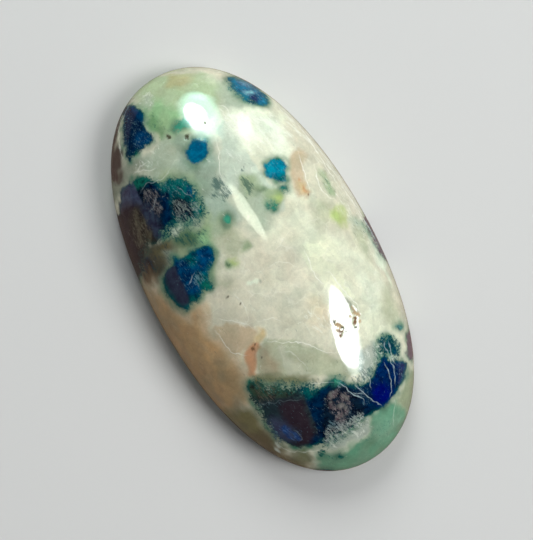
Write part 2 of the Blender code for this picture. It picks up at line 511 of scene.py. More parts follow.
ROCK = {
    "cream": paint(219, 218, 196), "chalk": paint(216, 224, 212), "mint white": paint(222, 226, 202),
    "cloud": paint(210, 208, 186), "cool grey": paint(164, 184, 166), "pale moss": paint(176, 197, 158),
    "moss": paint(150, 194, 144), "deep moss": paint(120, 162, 116), "bog": paint(86, 118, 88),
    "olive": paint(184, 184, 138), "rim brown": paint(84, 72, 66), "plum": paint(78, 60, 56),
    "ash": paint(150, 158, 140), "stone grey": paint(172, 187, 165), "ivory": paint(214, 206, 178),
    "frost": paint(230, 240, 218), "lemon": paint(226, 231, 203), "pale blue": paint(222, 228, 206),
    "beige": paint(200, 166, 122), "dark olive": paint(106, 100, 72), "smoke": paint(92, 87, 73),
    "dark smoke": paint(46, 36, 36), "sage": paint(188, 194, 166), "mint": paint(104, 158, 128),
    "faded mint": paint(150, 163, 132), "silver": paint(174, 186, 174), "pink grey": paint(168, 158, 154),
    "straw": paint(208, 188, 144), "rust": paint(196, 146, 100), "peach": paint(198, 152, 116),
    "lime": paint(178, 200, 126), "soft green": paint(158, 178, 142), "thatch": paint(128, 132, 100),
    "pit brown": paint(120, 84, 52), "pit tan": paint(176, 150, 112), "pit olive": paint(60, 58, 30), "tan": paint(200, 184, 154),
    "flank green": paint(134, 128, 88), "shade grey": paint(142, 164, 143), "grey veil": paint(200, 214, 196),
    "pale flake": paint(194, 198, 174), "dry tan": paint(178, 166, 138), "flank brown": paint(116, 106, 76),
    "light mint": paint(124, 174, 146), "dull beige": paint(172, 150, 114),
}
ROCK_WASHES = [
    ("mint white", [(-16, 3), (-12, 7.5), (-4, 9.8), (4, 9.8), (9, 8.5), (11, 5), (10.2, 1.5), (8, 2), (3, 3),
                    (0, 3), (-3, 1), (-8, 1), (-12, 1.5)], 0.9),
    ("cloud", [(-9, 9), (-4, 9.8), (6, 9.8), (10, 8), (9, 7), (6.6, 7.8), (3, 7.8), (0.6, 6.4), (-2, 5.2), (-4, 6.4),
               (-9, 6.4)], 0.6),
    ("sage", oval(-1.8, 6.2, 1.1, 0.9), 0.7),
    ("ivory", oval(5.0, 2.0, 1.4, 0.8), 0.8),
    ("cool grey", [(-13, -1.5), (-12.6, -0.3), (-11.5, 1), (-9, 0.8), (-7, 0.3), (-4.5, 0.2), (-4.2, -1.5), (-5, -2.8),
                   (-8, -2), (-10, -2.6), (-12, -2.2)], 0.6),
    ("grey veil", [(-11.3, 1.6), (-10.4, 1.35), (-9.8, 1.1), (-9.2, 0.78), (-8.5, 0.48), (-7.7, 0.32), (-6.9, 0.14),
                   (-6.2, 1.2), (-4, 2), (-3.4, 3.6), (-6, 3.4), (-8.6, 3), (-10.6, 3.2), (-12, 3)], 0.12),
    ("stone grey", oval(-4.8, 1.5, 2.0, 1.1), 0.8),
    ("shade grey", oval(-8.9, -1.3, 1.6, 0.7), 0.5),
    ("sage", oval(-3.4, -1.4, 1.3, 1.0), 0.7),
    ("sage", oval(-0.5, -3.9, 0.8, 0.9), 0.6),
    ("pale moss", [(-19, 0), (-17, 2.6), (-14, 4), (-12.4, 1), (-12.8, -2.4), (-16, -2.6), (-18, -2)], 0.7),
    ("stone grey", [(-16, 5.4), (-15, 6.5), (-13, 7.6), (-12.4, 5), (-12.8, 3.4), (-14.6, 4)], 0.7),
    ("cloud", [(-17.9, 0.2), (-17.6, 1.5), (-17.1, 3.1), (-16.2, 4.5), (-15, 5.5), (-14.8, 4.6), (-15.7, 4),
               (-16.7, 2.7), (-17, 1.2)], 0.4),
    ("moss", oval(-14.6, -1.2, 1.7, 1.2), 0.6),
    ("moss", oval(-14.1, -0.3, 0.3, 0.5, 15), 0.2),
    ("deep moss", oval(-14.1, -2.3, 1.2, 0.5, -8), 0.4),
    ("olive", [(-17.1, 0.9), (-17, 1.5), (-16.6, 2.2), (-16.1, 2.2), (-15.9, 1.5), (-16.4, 0.6)], 0.4),
    ("stone grey", oval(-16.5, -1.7, 0.5, 0.5), 0.4),
    ("stone grey", [(-13, -1.8), (-11, -2), (-10.2, -3.5), (-11.4, -5), (-12.9, -5), (-13, -3.4)], 0.5),
    ("ash", [(-12.9, -4.6), (-11.6, -4.8), (-11.2, -6.4), (-11.6, -8), (-12.6, -6.6)], 0.5),
    # Painted reflection: rim brown and plum darken the lower-left rim, as dark surroundings mirrored in the steep
    # polish.
    ("rim brown", [(-17.8, -2.4), (-16.6, -4), (-15.4, -5), (-14, -5.6), (-12.8, -6), (-12, -6.9),
                   (-11.6, -8.4), (-14, -8), (-18, -5)], 0.3),
    ("plum", oval(-13.6, -6.8, 1.8, 0.5, -28), 0.4),
    ("ash", [(-12, -6.4), (-11.3, -6.6), (-11, -7.4), (-10.2, -8), (-11, -8.6), (-12.2, -7.6)], 0.3),
    ("shade grey", oval(-12.2, -1.2, 0.8, 0.6), 0.5),
    ("soft green", [(-10.5, -2.6), (-9, -1.6), (-6.5, -1.9), (-4, -2.4), (-1.8, -3.6), (-0.6, -4.8),
                    (-0.1, -7), (-2, -8.2), (-4.6, -6.6), (-6, -6.2), (-10, -4.6)], 0.5),
    ("stone grey", oval(-6.0, -3.6, 0.5, 1.0), 0.4),
    ("bog", [(-5.8, -4.6), (-5.8, -3.4), (-5, -2.7), (-4.3, -3), (-4.4, -4.2), (-4.9, -5.1), (-5.6, -5.3)], 0.5),
    ("bog", oval(-5.2, -4.7, 0.5, 0.6), 0.5),
    ("moss", oval(-4.6, -3.1, 0.7, 0.4, -20), 0.5),
    # Painted reflection and painted shade: smoke, dark olive and dark smoke darken the lower-left flank and rim, where
    # dark surroundings are mirrored.
    ("smoke", [(-6.8, -7.4), (-6.2, -5.8), (-5.2, -5.4), (-4.5, -5.8), (-3.9, -6.7), (-3.4, -7.4), (-3.5, -8.3),
               (-4.2, -8.9), (-5.3, -9), (-6.6, -8.6)], 0.6),
    ("dark olive", oval(-5.4, -6.4, 0.8, 0.5, -60), 0.5),
    ("ash", oval(-4.6, -6.1, 0.3, 0.8, -60), 0.4),
    ("dark smoke", [(-5.5, -8.3), (-5.1, -7.8), (-4.2, -8), (-4.1, -8.5), (-4.9, -8.9)], 0.3),
    ("dark smoke", oval(-7.6, -9.0, 2.4, 0.5, -4), 0.4),
    ("frost", oval(-6.3, -4.5, 0.45, 0.6), 0.3),
    ("ivory", [(-0.4, -5), (2.4, -5.6), (5.4, -4.6), (7.4, -4.6), (7.6, -6.4), (5, -6.2), (0.4, -6.6)], 0.7),
    # Partly painted shade: beige and dull beige give the lower flank its warm tone and also darken it, as the side
    # that faces away from the light and mirrors warm surroundings.
    ("beige", [(-3.6, -8.4), (-0.4, -7.6), (0.2, -6.3), (2.4, -5.9), (5.2, -5.6), (7, -5.8), (8.4, -6.6),
               (9, -9.8), (0, -10.5), (-4.2, -10)], 1.1),
    ("dull beige", oval(6.8, -6.9, 1.8, 0.7, -5), 0.8),
    ("cloud", [(-0.6, -3.7), (0, -3.4), (1.5, -3.15), (3, -3.05), (2.4, -4), (1.9, -4.8), (1.4, -5.6),
               (-0.2, -5.2), (-0.7, -4.4)], 0.3),
    ("tan", [(1.5, -5.4), (1.9, -4.9), (2.4, -4.2), (3.2, -3.4), (3.7, -3.3), (4.7, -3.8), (5.3, -4.5),
             (4.9, -5), (4.4, -5.6), (3.6, -5.8), (2.8, -5.8)], 0.15),
    ("frost", [(0.1, -2.1), (0.1, -1.4), (0.4, -1.1), (0.65, -1.4), (0.45, -1.9)], 0.1),
    ("straw", [(3.6, -3), (3.9, -2.6), (4.5, -2.9), (5.1, -3.6), (4.6, -3.9)], 0.3),
    ("rust", oval(5.2, -3.95, 0.3, 0.2, -25), 0.2),
    ("peach", [(5, -4.4), (4.95, -3.8), (5.7, -3.75), (6.3, -4.3), (6.9, -4.7), (6.6, -5.4), (5.8, -5)], 0.25),
    ("rust", oval(5.7, -3.8, 0.25, 0.15, 20), 0.15),
    ("sage", [(4.8, -3.1), (5.5, -1.9), (6.3, -0.7), (6.9, 0.2), (7.6, 0.6), (8.1, 1), (10.3, 2.1), (11, 2.5),
              (10.6, 1.2), (9.8, -0.2), (9.2, -1.3), (8.6, -2.5), (7.2, -4.1), (6, -4), (5.5, -3.3)], 0.15),
    ("dry tan", oval(6.6, -3.3, 1.0, 0.6), 0.6),
    ("pale flake", [(6, -2.1), (6.4, -1.6), (7.3, -1.3), (8.2, -1), (9, -1.2), (8.8, -2), (8.3, -2.5), (6.9, -2.3)], 0.1),
    ("thatch", [(7, -5), (7.2, -4), (8, -3), (8.8, -2), (9.9, -1), (9.3, -2.5), (8.5, -3.6)], 0.5),
    ("thatch", oval(8.2, -3.2, 2.2, 0.35, 54), 0.4),
    ("dark olive", oval(8.0, -4.9, 0.8, 0.5), 0.4),
    # Partly painted shadow: flank green and flank brown darken the lower flank towards the rim at this end.
    ("flank green", [(9, -6.3), (10.5, -6), (12, -6.05), (14, -5.4), (15.4, -4.6), (17, -5), (13, -9),
                     (8.6, -10)], 0.7),
    ("flank brown", [(11.4, -6.3), (13, -6.1), (14.6, -5), (15.4, -5), (14.4, -7.4), (11.6, -8.6)], 0.6),
    ("mint", [(14.6, 4.2), (14.6, 2.5), (14.7, 1.2), (15.4, 0.9), (15.8, -1), (15.8, -2.2), (15.3, -3.2),
              (15.4, -3.9), (17, -3.8), (19, -1), (19, 3), (16.6, 4.6)], 0.5),
    ("faded mint", [(13.2, 7.6), (12.9, 6.6), (13.7, 5.2), (14.4, 4.1), (15.6, 4.3), (17, 4.8), (15.4, 7.4)], 0.4),
    ("silver", [(9.3, 3.6), (9.2, 5), (10.4, 4.9), (11, 3.8), (11.7, 3), (11.8, 2), (10.6, 2.2)], 0.3),
    ("light mint", oval(15.9, 2.2, 0.8, 1.3), 0.6),
    ("chalk", oval(11.15, 5.6, 0.34, 0.28), 0.15),
    ("silver", [(14, 1.4), (14.7, 1.3), (15.3, 0.8), (15.6, -0.3), (15.7, -1.4), (15.5, -2.4), (14.9, -2.9),
                (14.6, -2), (14.5, -0.8)], 0.2),
    ("chalk", oval(13.1, -5.95, 0.4, 0.2, 12), 0.15),
    ("thatch", oval(14.8, -4.6, 0.8, 0.6), 0.4),
    ("frost", [(-12.4, 3.6), (-11.8, 5.4), (-9.9, 7.2), (-8, 6.8), (-7.5, 5.5), (-8.7, 4.1), (-9.6, 2.6)], 0.7),
    ("tan", [(-7.1, 6.3), (-7.1, 7.1), (-5.9, 7.2), (-3.5, 5.9), (-3.8, 5), (-5.4, 5.5)], 0.35),
    ("straw", oval(-4.4, 5.9, 0.7, 0.35, -12), 0.35),
    ("rust", oval(-4.0, 6.0, 0.3, 0.15, -15), 0.2),
    ("rust", oval(-5.3, 6.2, 0.16, 0.1), 0.15),
    ("cloud", [(-6, 7.4), (-5.6, 8.3), (-4.1, 8.4), (-2, 8.3), (-2.1, 7.7), (-2.9, 7.1), (-4.2, 6.5)], 0.2),
    ("soft green", oval(-3.6, 7.8, 1.0, 0.35), 0.4),
    ("lime", oval(-0.7, 7.3, 0.8, 0.6), 0.5),
    ("stone grey", oval(0.6, 8.2, 0.9, 0.4), 0.4),
    ("soft green", [(-5.9, 2.7), (-5.3, 3.5), (-5.1, 4.3), (-4.4, 3.6), (-3.8, 2.8), (-4.6, 2.4)], 0.35),
    ("lime", oval(-4.6, 3.3, 0.35, 0.4), 0.3),
    ("bog", oval(-5.85, 2.6, 0.2, 0.35), 0.25),
    ("soft green", oval(-4.9, -1.2, 0.6, 0.8), 0.45),
    ("lime", oval(-1.75, -1.9, 0.4, 0.5, -20), 0.35),
    ("soft green", oval(-1.75, -2.35, 0.35, 0.5, -15), 0.25),
    ("soft green", oval(-2.45, -0.5, 0.35, 0.45), 0.3),
    ("soft green", oval(-6.5, 2.2, 0.7, 0.7), 0.4),
    ("pale blue", [(1.7, 6.3), (3.2, 7.2), (6, 7.2), (7.2, 6.4), (7, 5.7), (5, 5.7)], 0.6),
    ("sage", oval(7.6, 7.3, 1.6, 0.7, -20), 0.6),
    ("sage", oval(2.2, 7.9, 1.4, 0.5), 0.5),
    ("cloud", oval(-8.4, 7.4, 1.2, 0.7, 15), 0.6),
    ("lemon", [(-0.6, 3.8), (-0.2, 5.4), (1, 5.8), (2, 5.4), (1.4, 4.1), (0.3, 3.4)], 0.4),
    ("lemon", [(0.1, 3.3), (1.2, 3.2), (2, 3.1), (2.9, 3.2), (3.3, 3.5), (2.9, 4), (4, 4.4), (5.2, 4.7), (4.9, 5.2),
               (3.3, 4.8), (1.7, 4.3)], 0.12),
    ("frost", [(0, 8.8), (1.3, 9.0), (3.5, 9.0), (6, 8.5), (5.8, 8.2), (3.6, 8.5), (1.3, 8.5)], 0.25),
    ("bog", oval(-1.75, -2.35, 0.16, 0.34, -15), 0.15),
    ("ash", oval(5.6, 4.42, 1.0, 0.16, 12), 0.15),
]
# Violet, wine, brown, dusk and rim smoke serve only as painted reflection: dark, warm surroundings mirrored over the
# lower crystals and their rim.
MINERAL = {
    "navy": paint(0, 30, 62), "ink": paint(10, 25, 43), "royal": paint(0, 57, 100), "azure": paint(0, 92, 128),
    "bright azure": paint(0, 122, 150), "sea": paint(0, 84, 92), "teal": paint(18, 92, 82),
    "jade": paint(64, 146, 120), "lavender": paint(88, 118, 146), "ultramarine": paint(0, 10, 96),
    "indigo": paint(0, 30, 78), "violet": paint(66, 70, 94), "wine": paint(50, 39, 48),
    "brown": paint(54, 46, 42), "slate": paint(38, 52, 58), "bog green": paint(52, 63, 52),
    "flash blue": paint(38, 66, 116), "dusk": paint(50, 54, 74), "pale teal": paint(84, 136, 136), "violet grey": paint(104, 84, 94),
    "deep sea": paint(6, 78, 82), "light stripe": paint(120, 166, 180), "olive brown": paint(92, 84, 70),
    "dark teal": paint(8, 53, 72),
    "rim smoke": paint(40, 28, 34), "pink stone": paint(104, 94, 96),
}
MINERAL_WASHES = [
    ("royal", oval(-13.8, -3.5, 0.7, 0.7), 0.4),
    ("royal", oval(-15.9, -2.8, 0.9, 0.25, 8), 0.2),
    ("azure", oval(-10.8, -0.2, 1.6, 1.6), 0.3),
    ("jade", oval(-13.35, -0.2, 0.9, 1.2), 0.2),
    ("bright azure", oval(-6.6, 4.6, 1.5, 1.5), 0.3),
    ("sea", oval(-5.7, 4.5, 0.35, 0.6), 0.3),
    ("azure", oval(-13.2, 5.9, 2.3, 1.7), 0.2),
    ("lavender", [(-14.8, 5.6), (-14.2, 6.4), (-13.4, 6.9), (-12.7, 7.1), (-13.4, 6.3), (-14, 5.7)], 0.2),
    ("light stripe", oval(-13.1, 5.9, 0.15, 0.6, -30), 0.15),
    ("indigo", oval(-12.4, 5.9, 0.45, 0.35), 0.2),
    ("ink", [(-10.7, -6.1), (-10.3, -5.1), (-9.5, -4.5), (-8.3, -4.7), (-6.7, -5.3), (-6.4, -6.1)], 0.3),
    ("deep sea", [(-10.2, -4), (-10.2, -2), (-8, -1.5), (-6.8, -2.2), (-8, -3), (-8.8, -3.4), (-9.4, -4.2)], 0.3),
    ("royal", oval(-8.3, -2.2, 0.4, 0.3), 0.3),
    ("navy", [(-9.1, -4.3), (-8.7, -3.9), (-7.5, -4.3), (-6.7, -4.8), (-6.5, -5.6), (-7.6, -5.2)], 0.3),
    ("deep sea", [(-8.8, -3.8), (-8.2, -2.8), (-7.2, -2), (-6, -2), (-5.8, -4), (-6.8, -4.6), (-7.5, -4.3)], 0.3),
    ("ink", [(-8.5, -3.6), (-8, -3), (-7.2, -2.7), (-6.5, -3.1), (-6.3, -4), (-7, -4.4), (-7.8, -4.2)], 0.3),
    ("teal", oval(-11.0, -5.3, 0.45, 0.9), 0.25),
    # Painted reflection: below a crisp line the lower-left crystals turn violet, wine, brown and dusk, dark warm
    # surroundings mirrored over their blue, and rim smoke darkens the rim.
    ("violet", [(-12, -5.95), (-11, -5.9), (-10, -5.98), (-9, -6.1), (-7, -6.2), (-3.6, -6.4), (-3.6, -9.8), (-12, -9.4)], 0.08),
    ("wine", [(-9.4, -6.3), (-7, -6.15), (-3.6, -6.4), (-3.6, -9.8), (-9.4, -9.4), (-9.9, -7.6)], 0.5),
    ("brown", [(-9.3, -6.4), (-8.2, -6.1), (-7, -6.2), (-5.6, -6.6), (-4.4, -8), (-7.1, -8.1), (-8.8, -7.7)], 0.5),
    ("dusk", [(-9.2, -5.6), (-7.6, -5.6), (-6.2, -5.8), (-6.2, -6.3), (-7.4, -6.5), (-9, -6.35)], 0.3),
    ("olive brown", oval(-8.7, -6.9, 0.8, 0.1, -8), 0.12),
    ("olive brown", oval(-8.0, -7.25, 0.9, 0.12, -14), 0.15),
    ("olive brown", oval(-7.6, -6.7, 0.7, 0.08, -10), 0.1),
    ("olive brown", oval(-7.0, -7.6, 0.6, 0.1, -20), 0.12),
    ("olive brown", oval(-6.5, -7.0, 0.7, 0.14, -35), 0.15),
    ("olive brown", oval(-5.6, -7.6, 0.7, 0.2, -45), 0.25),
    ("rim smoke", [(-9.8, -9), (-8.3, -8.5), (-6.6, -8.6), (-4.8, -8.6), (-4.4, -10), (-9.8, -10)], 0.3),
    ("royal", oval(-3.3, -4.1, 1.4, 1.5), 0.3),
    ("sea", oval(-3.7, -4.9, 0.6, 0.5), 0.4),
    ("sea", oval(-1.4, -4.9, 1.0, 0.7), 0.4),
    ("royal", oval(-2.3, -5.8, 2.6, 0.5), 0.3),
    ("teal", oval(-1.0, -4.75, 0.5, 0.3), 0.3),
    ("royal", oval(-1.4, -5.9, 0.5, 0.5), 0.3),
    ("deep sea", [(-1, -5.9), (-0.4, -5.9), (0, -7), (-0.6, -7.2), (-1, -6.6)], 0.3),
    # Painted reflection: dusk greys the boot crystal below the same crisp line.
    ("dusk", [(-5, -6.28), (-3, -6.33), (-1, -6.5), (0, -6.7), (0.2, -8.4), (-5, -8.4)], 0.12),
    ("deep sea", [(-4.2, -7.2), (-3, -7.5), (-1.6, -7.5), (-0.4, -7.2), (0, -6.8), (-0.2, -8.4), (-4, -8.4)], 0.25),
    ("sea", oval(-0.35, -6.9, 0.25, 0.6, 10), 0.25),
    ("jade", oval(-4.95, -0.85, 0.8, 0.8), 0.2),
    ("jade", oval(-4.5, 3.4, 0.8, 1.3), 0.2),
    ("bog green", oval(-6.6, 2.0, 0.9, 0.9), 0.2),
    ("slate", oval(-7.4, -0.3, 1.2, 0.7), 0.2),
    ("dark teal", oval(10.1, 5.7, 1.4, 1.1), 0.3),
    ("indigo", [(11.1, 6.6), (13.4, 6), (14.4, 3), (12.4, 2.8), (11, 3.6), (10.8, 5)], 0.3),
    ("ultramarine", oval(13.3, 3.3, 0.9, 0.8), 0.4),
    ("navy", oval(12.6, 1.9, 0.9, 0.5), 0.3),
    ("jade", oval(10.4, 0.6, 0.5, 0.4), 0.5),
    ("ink", [(11, 0.8), (12.4, 1.5), (14.2, 1.2), (14.6, -1), (14.4, -2.6), (12.6, -1.8), (11, -0.6)], 0.3),
    ("pink stone", oval(11.3, -0.2, 0.22, 0.5, 15), 0.12),
    ("pink stone", oval(11.95, 0.5, 0.4, 0.18, 40), 0.12),
    ("pink stone", oval(12.45, -0.1, 0.2, 0.35, -15), 0.12),
    ("pink stone", oval(13.0, 0.15, 0.35, 0.18, -20), 0.12),
    ("pink stone", oval(13.2, -0.6, 0.18, 0.4, 15), 0.12),
    ("pink stone", oval(12.0, -0.75, 0.3, 0.12, -30), 0.12),
    ("deep sea", oval(10.2, -1.7, 0.5, 0.6), 0.35),
    # Painted reflection: slate greys the lower mass below a crisp line, and wine and violet are laid over its blue
    # there.
    ("slate", [(9.5, -2.42), (12.3, -2.5), (14.3, -2.9), (14.6, -3.4), (14.6, -6.4), (7, -6.4), (8.6, -4)], 0.1),
    ("wine", [(9.9, -4.2), (10.6, -2.6), (11.5, -2.7), (12.7, -2.8), (14.3, -3.1), (14.2, -4.1), (13.7, -5.1),
              (12.9, -4), (11.6, -4.6)], 0.4),
    ("violet", oval(11.9, -5.2, 1.3, 0.7, 20), 0.5),
    ("navy", [(13.6, -2.8), (14.8, -2.8), (14.6, -3.8), (14, -3.6)], 0.3),
    ("flash blue", [(11.7, -5.1), (11.8, -4.7), (12.2, -4.6), (12.55, -4.75), (12.3, -5)], 0.12),
    ("flash blue", [(12.4, -4.55), (12.7, -4.2), (13.15, -4.1), (13.4, -4.35), (13, -4.5), (12.7, -4.5)], 0.12),
    ("flash blue", oval(12.75, -4.85, 0.3, 0.1, 35), 0.1),
    ("bog green", [(7, -6), (7, -5), (8, -4), (9.2, -2.8), (9.8, -3), (9.2, -4.6), (8.4, -6)], 0.3),
    ("pale teal", oval(9.4, 7.3, 0.6, 0.6), 0.2),
    ("teal", oval(16.0, -2.4, 1.2, 1.4), 0.3),
    ("violet grey", oval(2.3, 9.6, 2.8, 0.9), 0.2),
    ("violet grey", oval(11.3, 7.6, 1.5, 1.0), 0.2),
]
PALE = {"blue frost": paint(104, 144, 154), "grey": paint(136, 150, 142), "pink grey": paint(146, 134, 132),
        "olive grey": paint(104, 98, 84), "chalk": paint(176, 186, 178), "rose": paint(116, 112, 112),
        "blue flake": paint(74, 100, 146)}
PALE_WASHES = [
    ("grey", [(-10.4, -4.4), (-9, -4), (-8.6, -2.6), (-6.6, -2.2), (-5.6, -4), (-6, -6.4), (-9.6, -6.2)], 0.4),
    ("rose", [(-10.3, -5.7), (-9.9, -4.6), (-9, -4.6), (-7.9, -5), (-7.6, -5.8), (-8.9, -5.9)], 0.3),
    ("olive grey", [(-12, -6.2), (-6, -6.2), (-5, -9.6), (-12, -9.6)], 0.2),
    ("pink grey", [(11.1, -0.8), (11.2, 0.6), (12, 1.2), (13, 1), (13.2, 0.2), (13.8, -0.1), (13.8, -0.9), (12.4, -1.1)],
     0.4),
    ("chalk", [(13.2, -2.4), (13.8, -1.2), (13.6, 0.4), (13.6, 1.2), (14.8, 1.3), (15.6, -0.6), (15, -3)], 0.4),
    ("grey", [(9.2, -3), (10.4, -1), (12, -1.4), (12.4, -3)], 0.4),
    ("olive grey", [(7, -6), (7, -5), (8, -4), (9.4, -2.6), (9.8, -3.6), (9, -6)], 0.3),
    ("blue flake", oval(12.5, -4.6, 1.2, 0.8, 20), 0.2),
]


def lay_washes(first_coat, paints, washes, points, strength=1.0):
    """Paints each wash over what lies below it: new = old + share * (paint - old), share soft at its edge."""
    canvas = np.tile(first_coat, (len(points), 1))
    for name, outline, softness in washes:
        share = smooth_step(-softness, softness, depth_inside(points, outline)) * strength
        canvas += share[:, None] * (paints[name] - canvas)
    return canvas


loose = wavy(wavy(plain_points, 0.22, 2.4, 23), 0.09, 0.7, 29)
firm = wavy(plain_points, 0.05, 0.6, 31)
topside = smooth_step(0.0, 1.2, plain_points[:, 2] + 0.3 * ripples(plain_points, 2.0, 37))
rock_colour = lay_washes(ROCK["cream"], ROCK, ROCK_WASHES, loose)
mineral_colour = lay_washes(MINERAL["navy"], MINERAL, MINERAL_WASHES, firm)


def underside_colour(points):
    """The back and the foot of the wall: cream that drifts to green, grey and beige in soft clouds."""
    canvas = np.tile(ROCK["cloud"], (len(points), 1))
    for seed, name in enumerate(("sage", "moss", "silver", "tan", "cool grey", "faded mint")):
        share = smooth_step(0.1, 1.3, ripples(points, 7.0, 41 + seed)) * 0.8
        canvas += share[:, None] * (ROCK[name] - canvas)
    return canvas


below = underside_colour(plain_points)
rock_colour = below + topside[:, None] * (rock_colour - below)
fringe = (0.7 + 0.25 * ripples(plain_points, 0.9, 59)) * smooth_step(-0.7, 0.0, crystal_depth) ** 1.4
# The green fringe is left out under the painted reflection on the lower-left crystals.
fringe *= 1.0 - 0.9 * smooth_step(-6.0, -6.3, plain_points[:, 1]) * smooth_step(-4.4, -5.0, plain_points[:, 0])
rock_colour += fringe[:, None] * np.minimum(0.0, paint(84, 132, 108) - rock_colour)
pale_colour = lay_washes(PALE["blue frost"], PALE, PALE_WASHES, firm)
for seed, name in enumerate(("frost", "tan", "stone grey", "sage")):
    share = 0.16 * smooth_step(0.1, 1.4, ripples(plain_points, 2.0, 101 + seed))
    rock_colour += share[:, None] * (ROCK[name] * rock_colour.max(1, keepdims=True) - rock_colour)
print("The rock's mean colour is", np.round(rock_colour.mean(0), 2))

# %% [markdown]
# ## Grit, flecks, pits and healed cracks
# Between the big crystals the dark mineral is a thicket of hair-fine grains, and pale flecks sit inside
# the blue. Both only need a density here, because the material breaks them up. The open pits are real
# hollows, and the healed cracks are lines with a signed distance, like the outlines.

# %% Densities, lines and pits
GRIT = [
    # density, outline and softness
    (0.6, [(-9.6, -2), (-7.4, -1.6), (-5.8, -2.4), (-5.5, -4), (-5.6, -4.8), (-6.2, -5.8), (-7, -3)], 0.4),
    (1.0, oval(-6.4, 2.1, 0.6, 0.5), 0.4),
    (0.6, oval(-7.6, 2.2, 0.5, 0.25), 0.3),
    (0.85, oval(-7.4, -0.1, 1.1, 0.8), 0.5),
    (0.62, [(7, -5), (7.4, -4), (8.2, -3), (9.2, -1.6), (9.9, -0.8), (10.3, -1.2), (9.3, -2.8), (8.5, -4)], 0.5),
    (0.4, oval(8.3, -0.9, 0.6, 0.5), 0.4),
    (0.68, oval(11.2, 2.6, 0.7, 1.3, 15), 0.4),
    (0.5, oval(10.0, 4.6, 1.0, 0.6), 0.4),
    (0.3, oval(16.0, 1.4, 0.9, 2.0), 0.7),
    (0.4, oval(16.2, -2.6, 0.6, 1.0), 0.5),
    (0.4, oval(-3.7, 7.8, 0.9, 0.4), 0.4),
    (0.4, oval(0.6, 8.1, 0.8, 0.5), 0.4),
    (0.6, [(-5.8, -4.6), (-5.8, -3.2), (-5, -2.6), (-4.3, -3), (-4.4, -4.2), (-4.9, -5.1), (-5.6, -5.3)], 0.4),
    (0.45, oval(-4.9, -6.6, 1.2, 0.8, -60), 0.5),
    (0.6, oval(-4.9, -8.1, 0.8, 0.7), 0.4),
    (0.35, oval(-14.4, -2.0, 1.2, 0.8), 0.6),
]
FLECKS = [
    (0.33, [(-17, -3), (-13, -2.7), (-12.8, -5.4), (-16, -4.4)], 0.2),
    (0.33, oval(-6.6, 4.5, 1.3, 1.1), 0.2),
    (0.32, oval(-13, 5.9, 1.7, 1.0, 25), 0.3),
    (0.6, [(-8.8, -3.7), (-8.2, -2.9), (-7.2, -2.1), (-6.4, -2.3), (-6, -3.2), (-6.6, -4.4), (-7.5, -4.3)], 0.3),
    (0.68, [(-10.4, -5.8), (-10, -4.6), (-9, -4.6), (-7.9, -5), (-7.6, -5.7), (-8.9, -5.8)], 0.3),
    (0.36, [(-10.2, -4.4), (-9.6, -2.2), (-8, -2), (-8.8, -3.4), (-9, -4.4)], 0.3),
    (0.6, [(-9.3, -6.6), (-7.4, -6.3), (-6.2, -7.2), (-5.6, -8.2), (-7.2, -8.2), (-8.8, -7.6)], 0.4),
    (0.3, oval(-2.6, -4.9, 1.8, 1.8), 0.4),
    (0.7, [(-2.5, -5.3), (-2.3, -4.8), (-1.7, -4.8), (-1.5, -5.3), (-2, -5.7)], 0.25),
    (0.3, oval(10.0, 5.7, 0.9, 0.5), 0.3),
    (0.4, oval(12.2, 5.5, 1.0, 0.4), 0.3),
    (0.12, oval(12.6, 4.0, 1.6, 1.5), 0.4),
    (0.6, [(11.6, -5.3), (11.8, -4.4), (12.8, -3.9), (13.6, -4.1), (13.4, -4.9), (12.4, -5.2)], 0.25),
    (0.4, oval(12.6, 1.9, 0.9, 0.5), 0.3), (0.5, oval(10.7, 0.6, 0.6, 0.5), 0.3),
    (0.5, [(11.1, -0.7), (11.1, 0.4), (11.9, 1.1), (12.9, 0.8), (13.4, 0.2), (13.7, -0.8), (12.6, -1.3)], 0.3),
    (0.72, [(12.9, -1.6), (13.4, -0.2), (13.6, 1), (14.6, 1.1), (15.1, -0.4), (14.9, -2.6), (13.8, -2.3)], 0.3),
    (0.15, oval(11.6, -3.6, 2.4, 2.2), 0.5),
    (0.55, oval(8.6, -4.4, 0.9, 1.5, 30), 0.4),
    (0.5, oval(12.2, -5.8, 2.0, 0.4), 0.3),
    (0.45, oval(2.4, 9.1, 2.4, 0.5), 0.3),
]
CALM = [
    # how little a crystal's colour is mottled
    # The first three entries keep the painted reflection zones on the lower crystals plain.
    (0.4, [(-12.4, -5.8), (-10.4, -5.9), (-9, -6.1), (-5, -6.1), (-3.6, -9.6), (-12, -9.8)], 0.3),
    (0.6, [(-5, -6.4), (0, -6.6), (0.4, -8.4), (-5, -8.4)], 0.15),
    (0.7, [(9, -5), (10.4, -2.7), (12, -2.8), (13.4, -3), (14, -4), (13.4, -6.2), (8.4, -6.2)], 0.3),
    (0.8, oval(2.3, 9.5, 2.6, 0.9), 0.2), (0.8, oval(11.3, 7.6, 1.5, 1.0), 0.2),
    (0.5, oval(13.3, 3.3, 1.2, 1.2), 0.3), (0.5, oval(-10.8, -0.2, 1.2, 1.2), 0.2),
    (0.4, oval(-6.6, 4.6, 1.2, 1.2), 0.2), (0.8, oval(-13.35, -0.3, 0.8, 1.3), 0.2),
    (0.7, oval(-4.95, -0.85, 0.8, 0.8), 0.2),
    (0.5, [(-17, -3), (-13, -2.7), (-12.8, -5.4), (-16, -4.4)], 0.2),
]
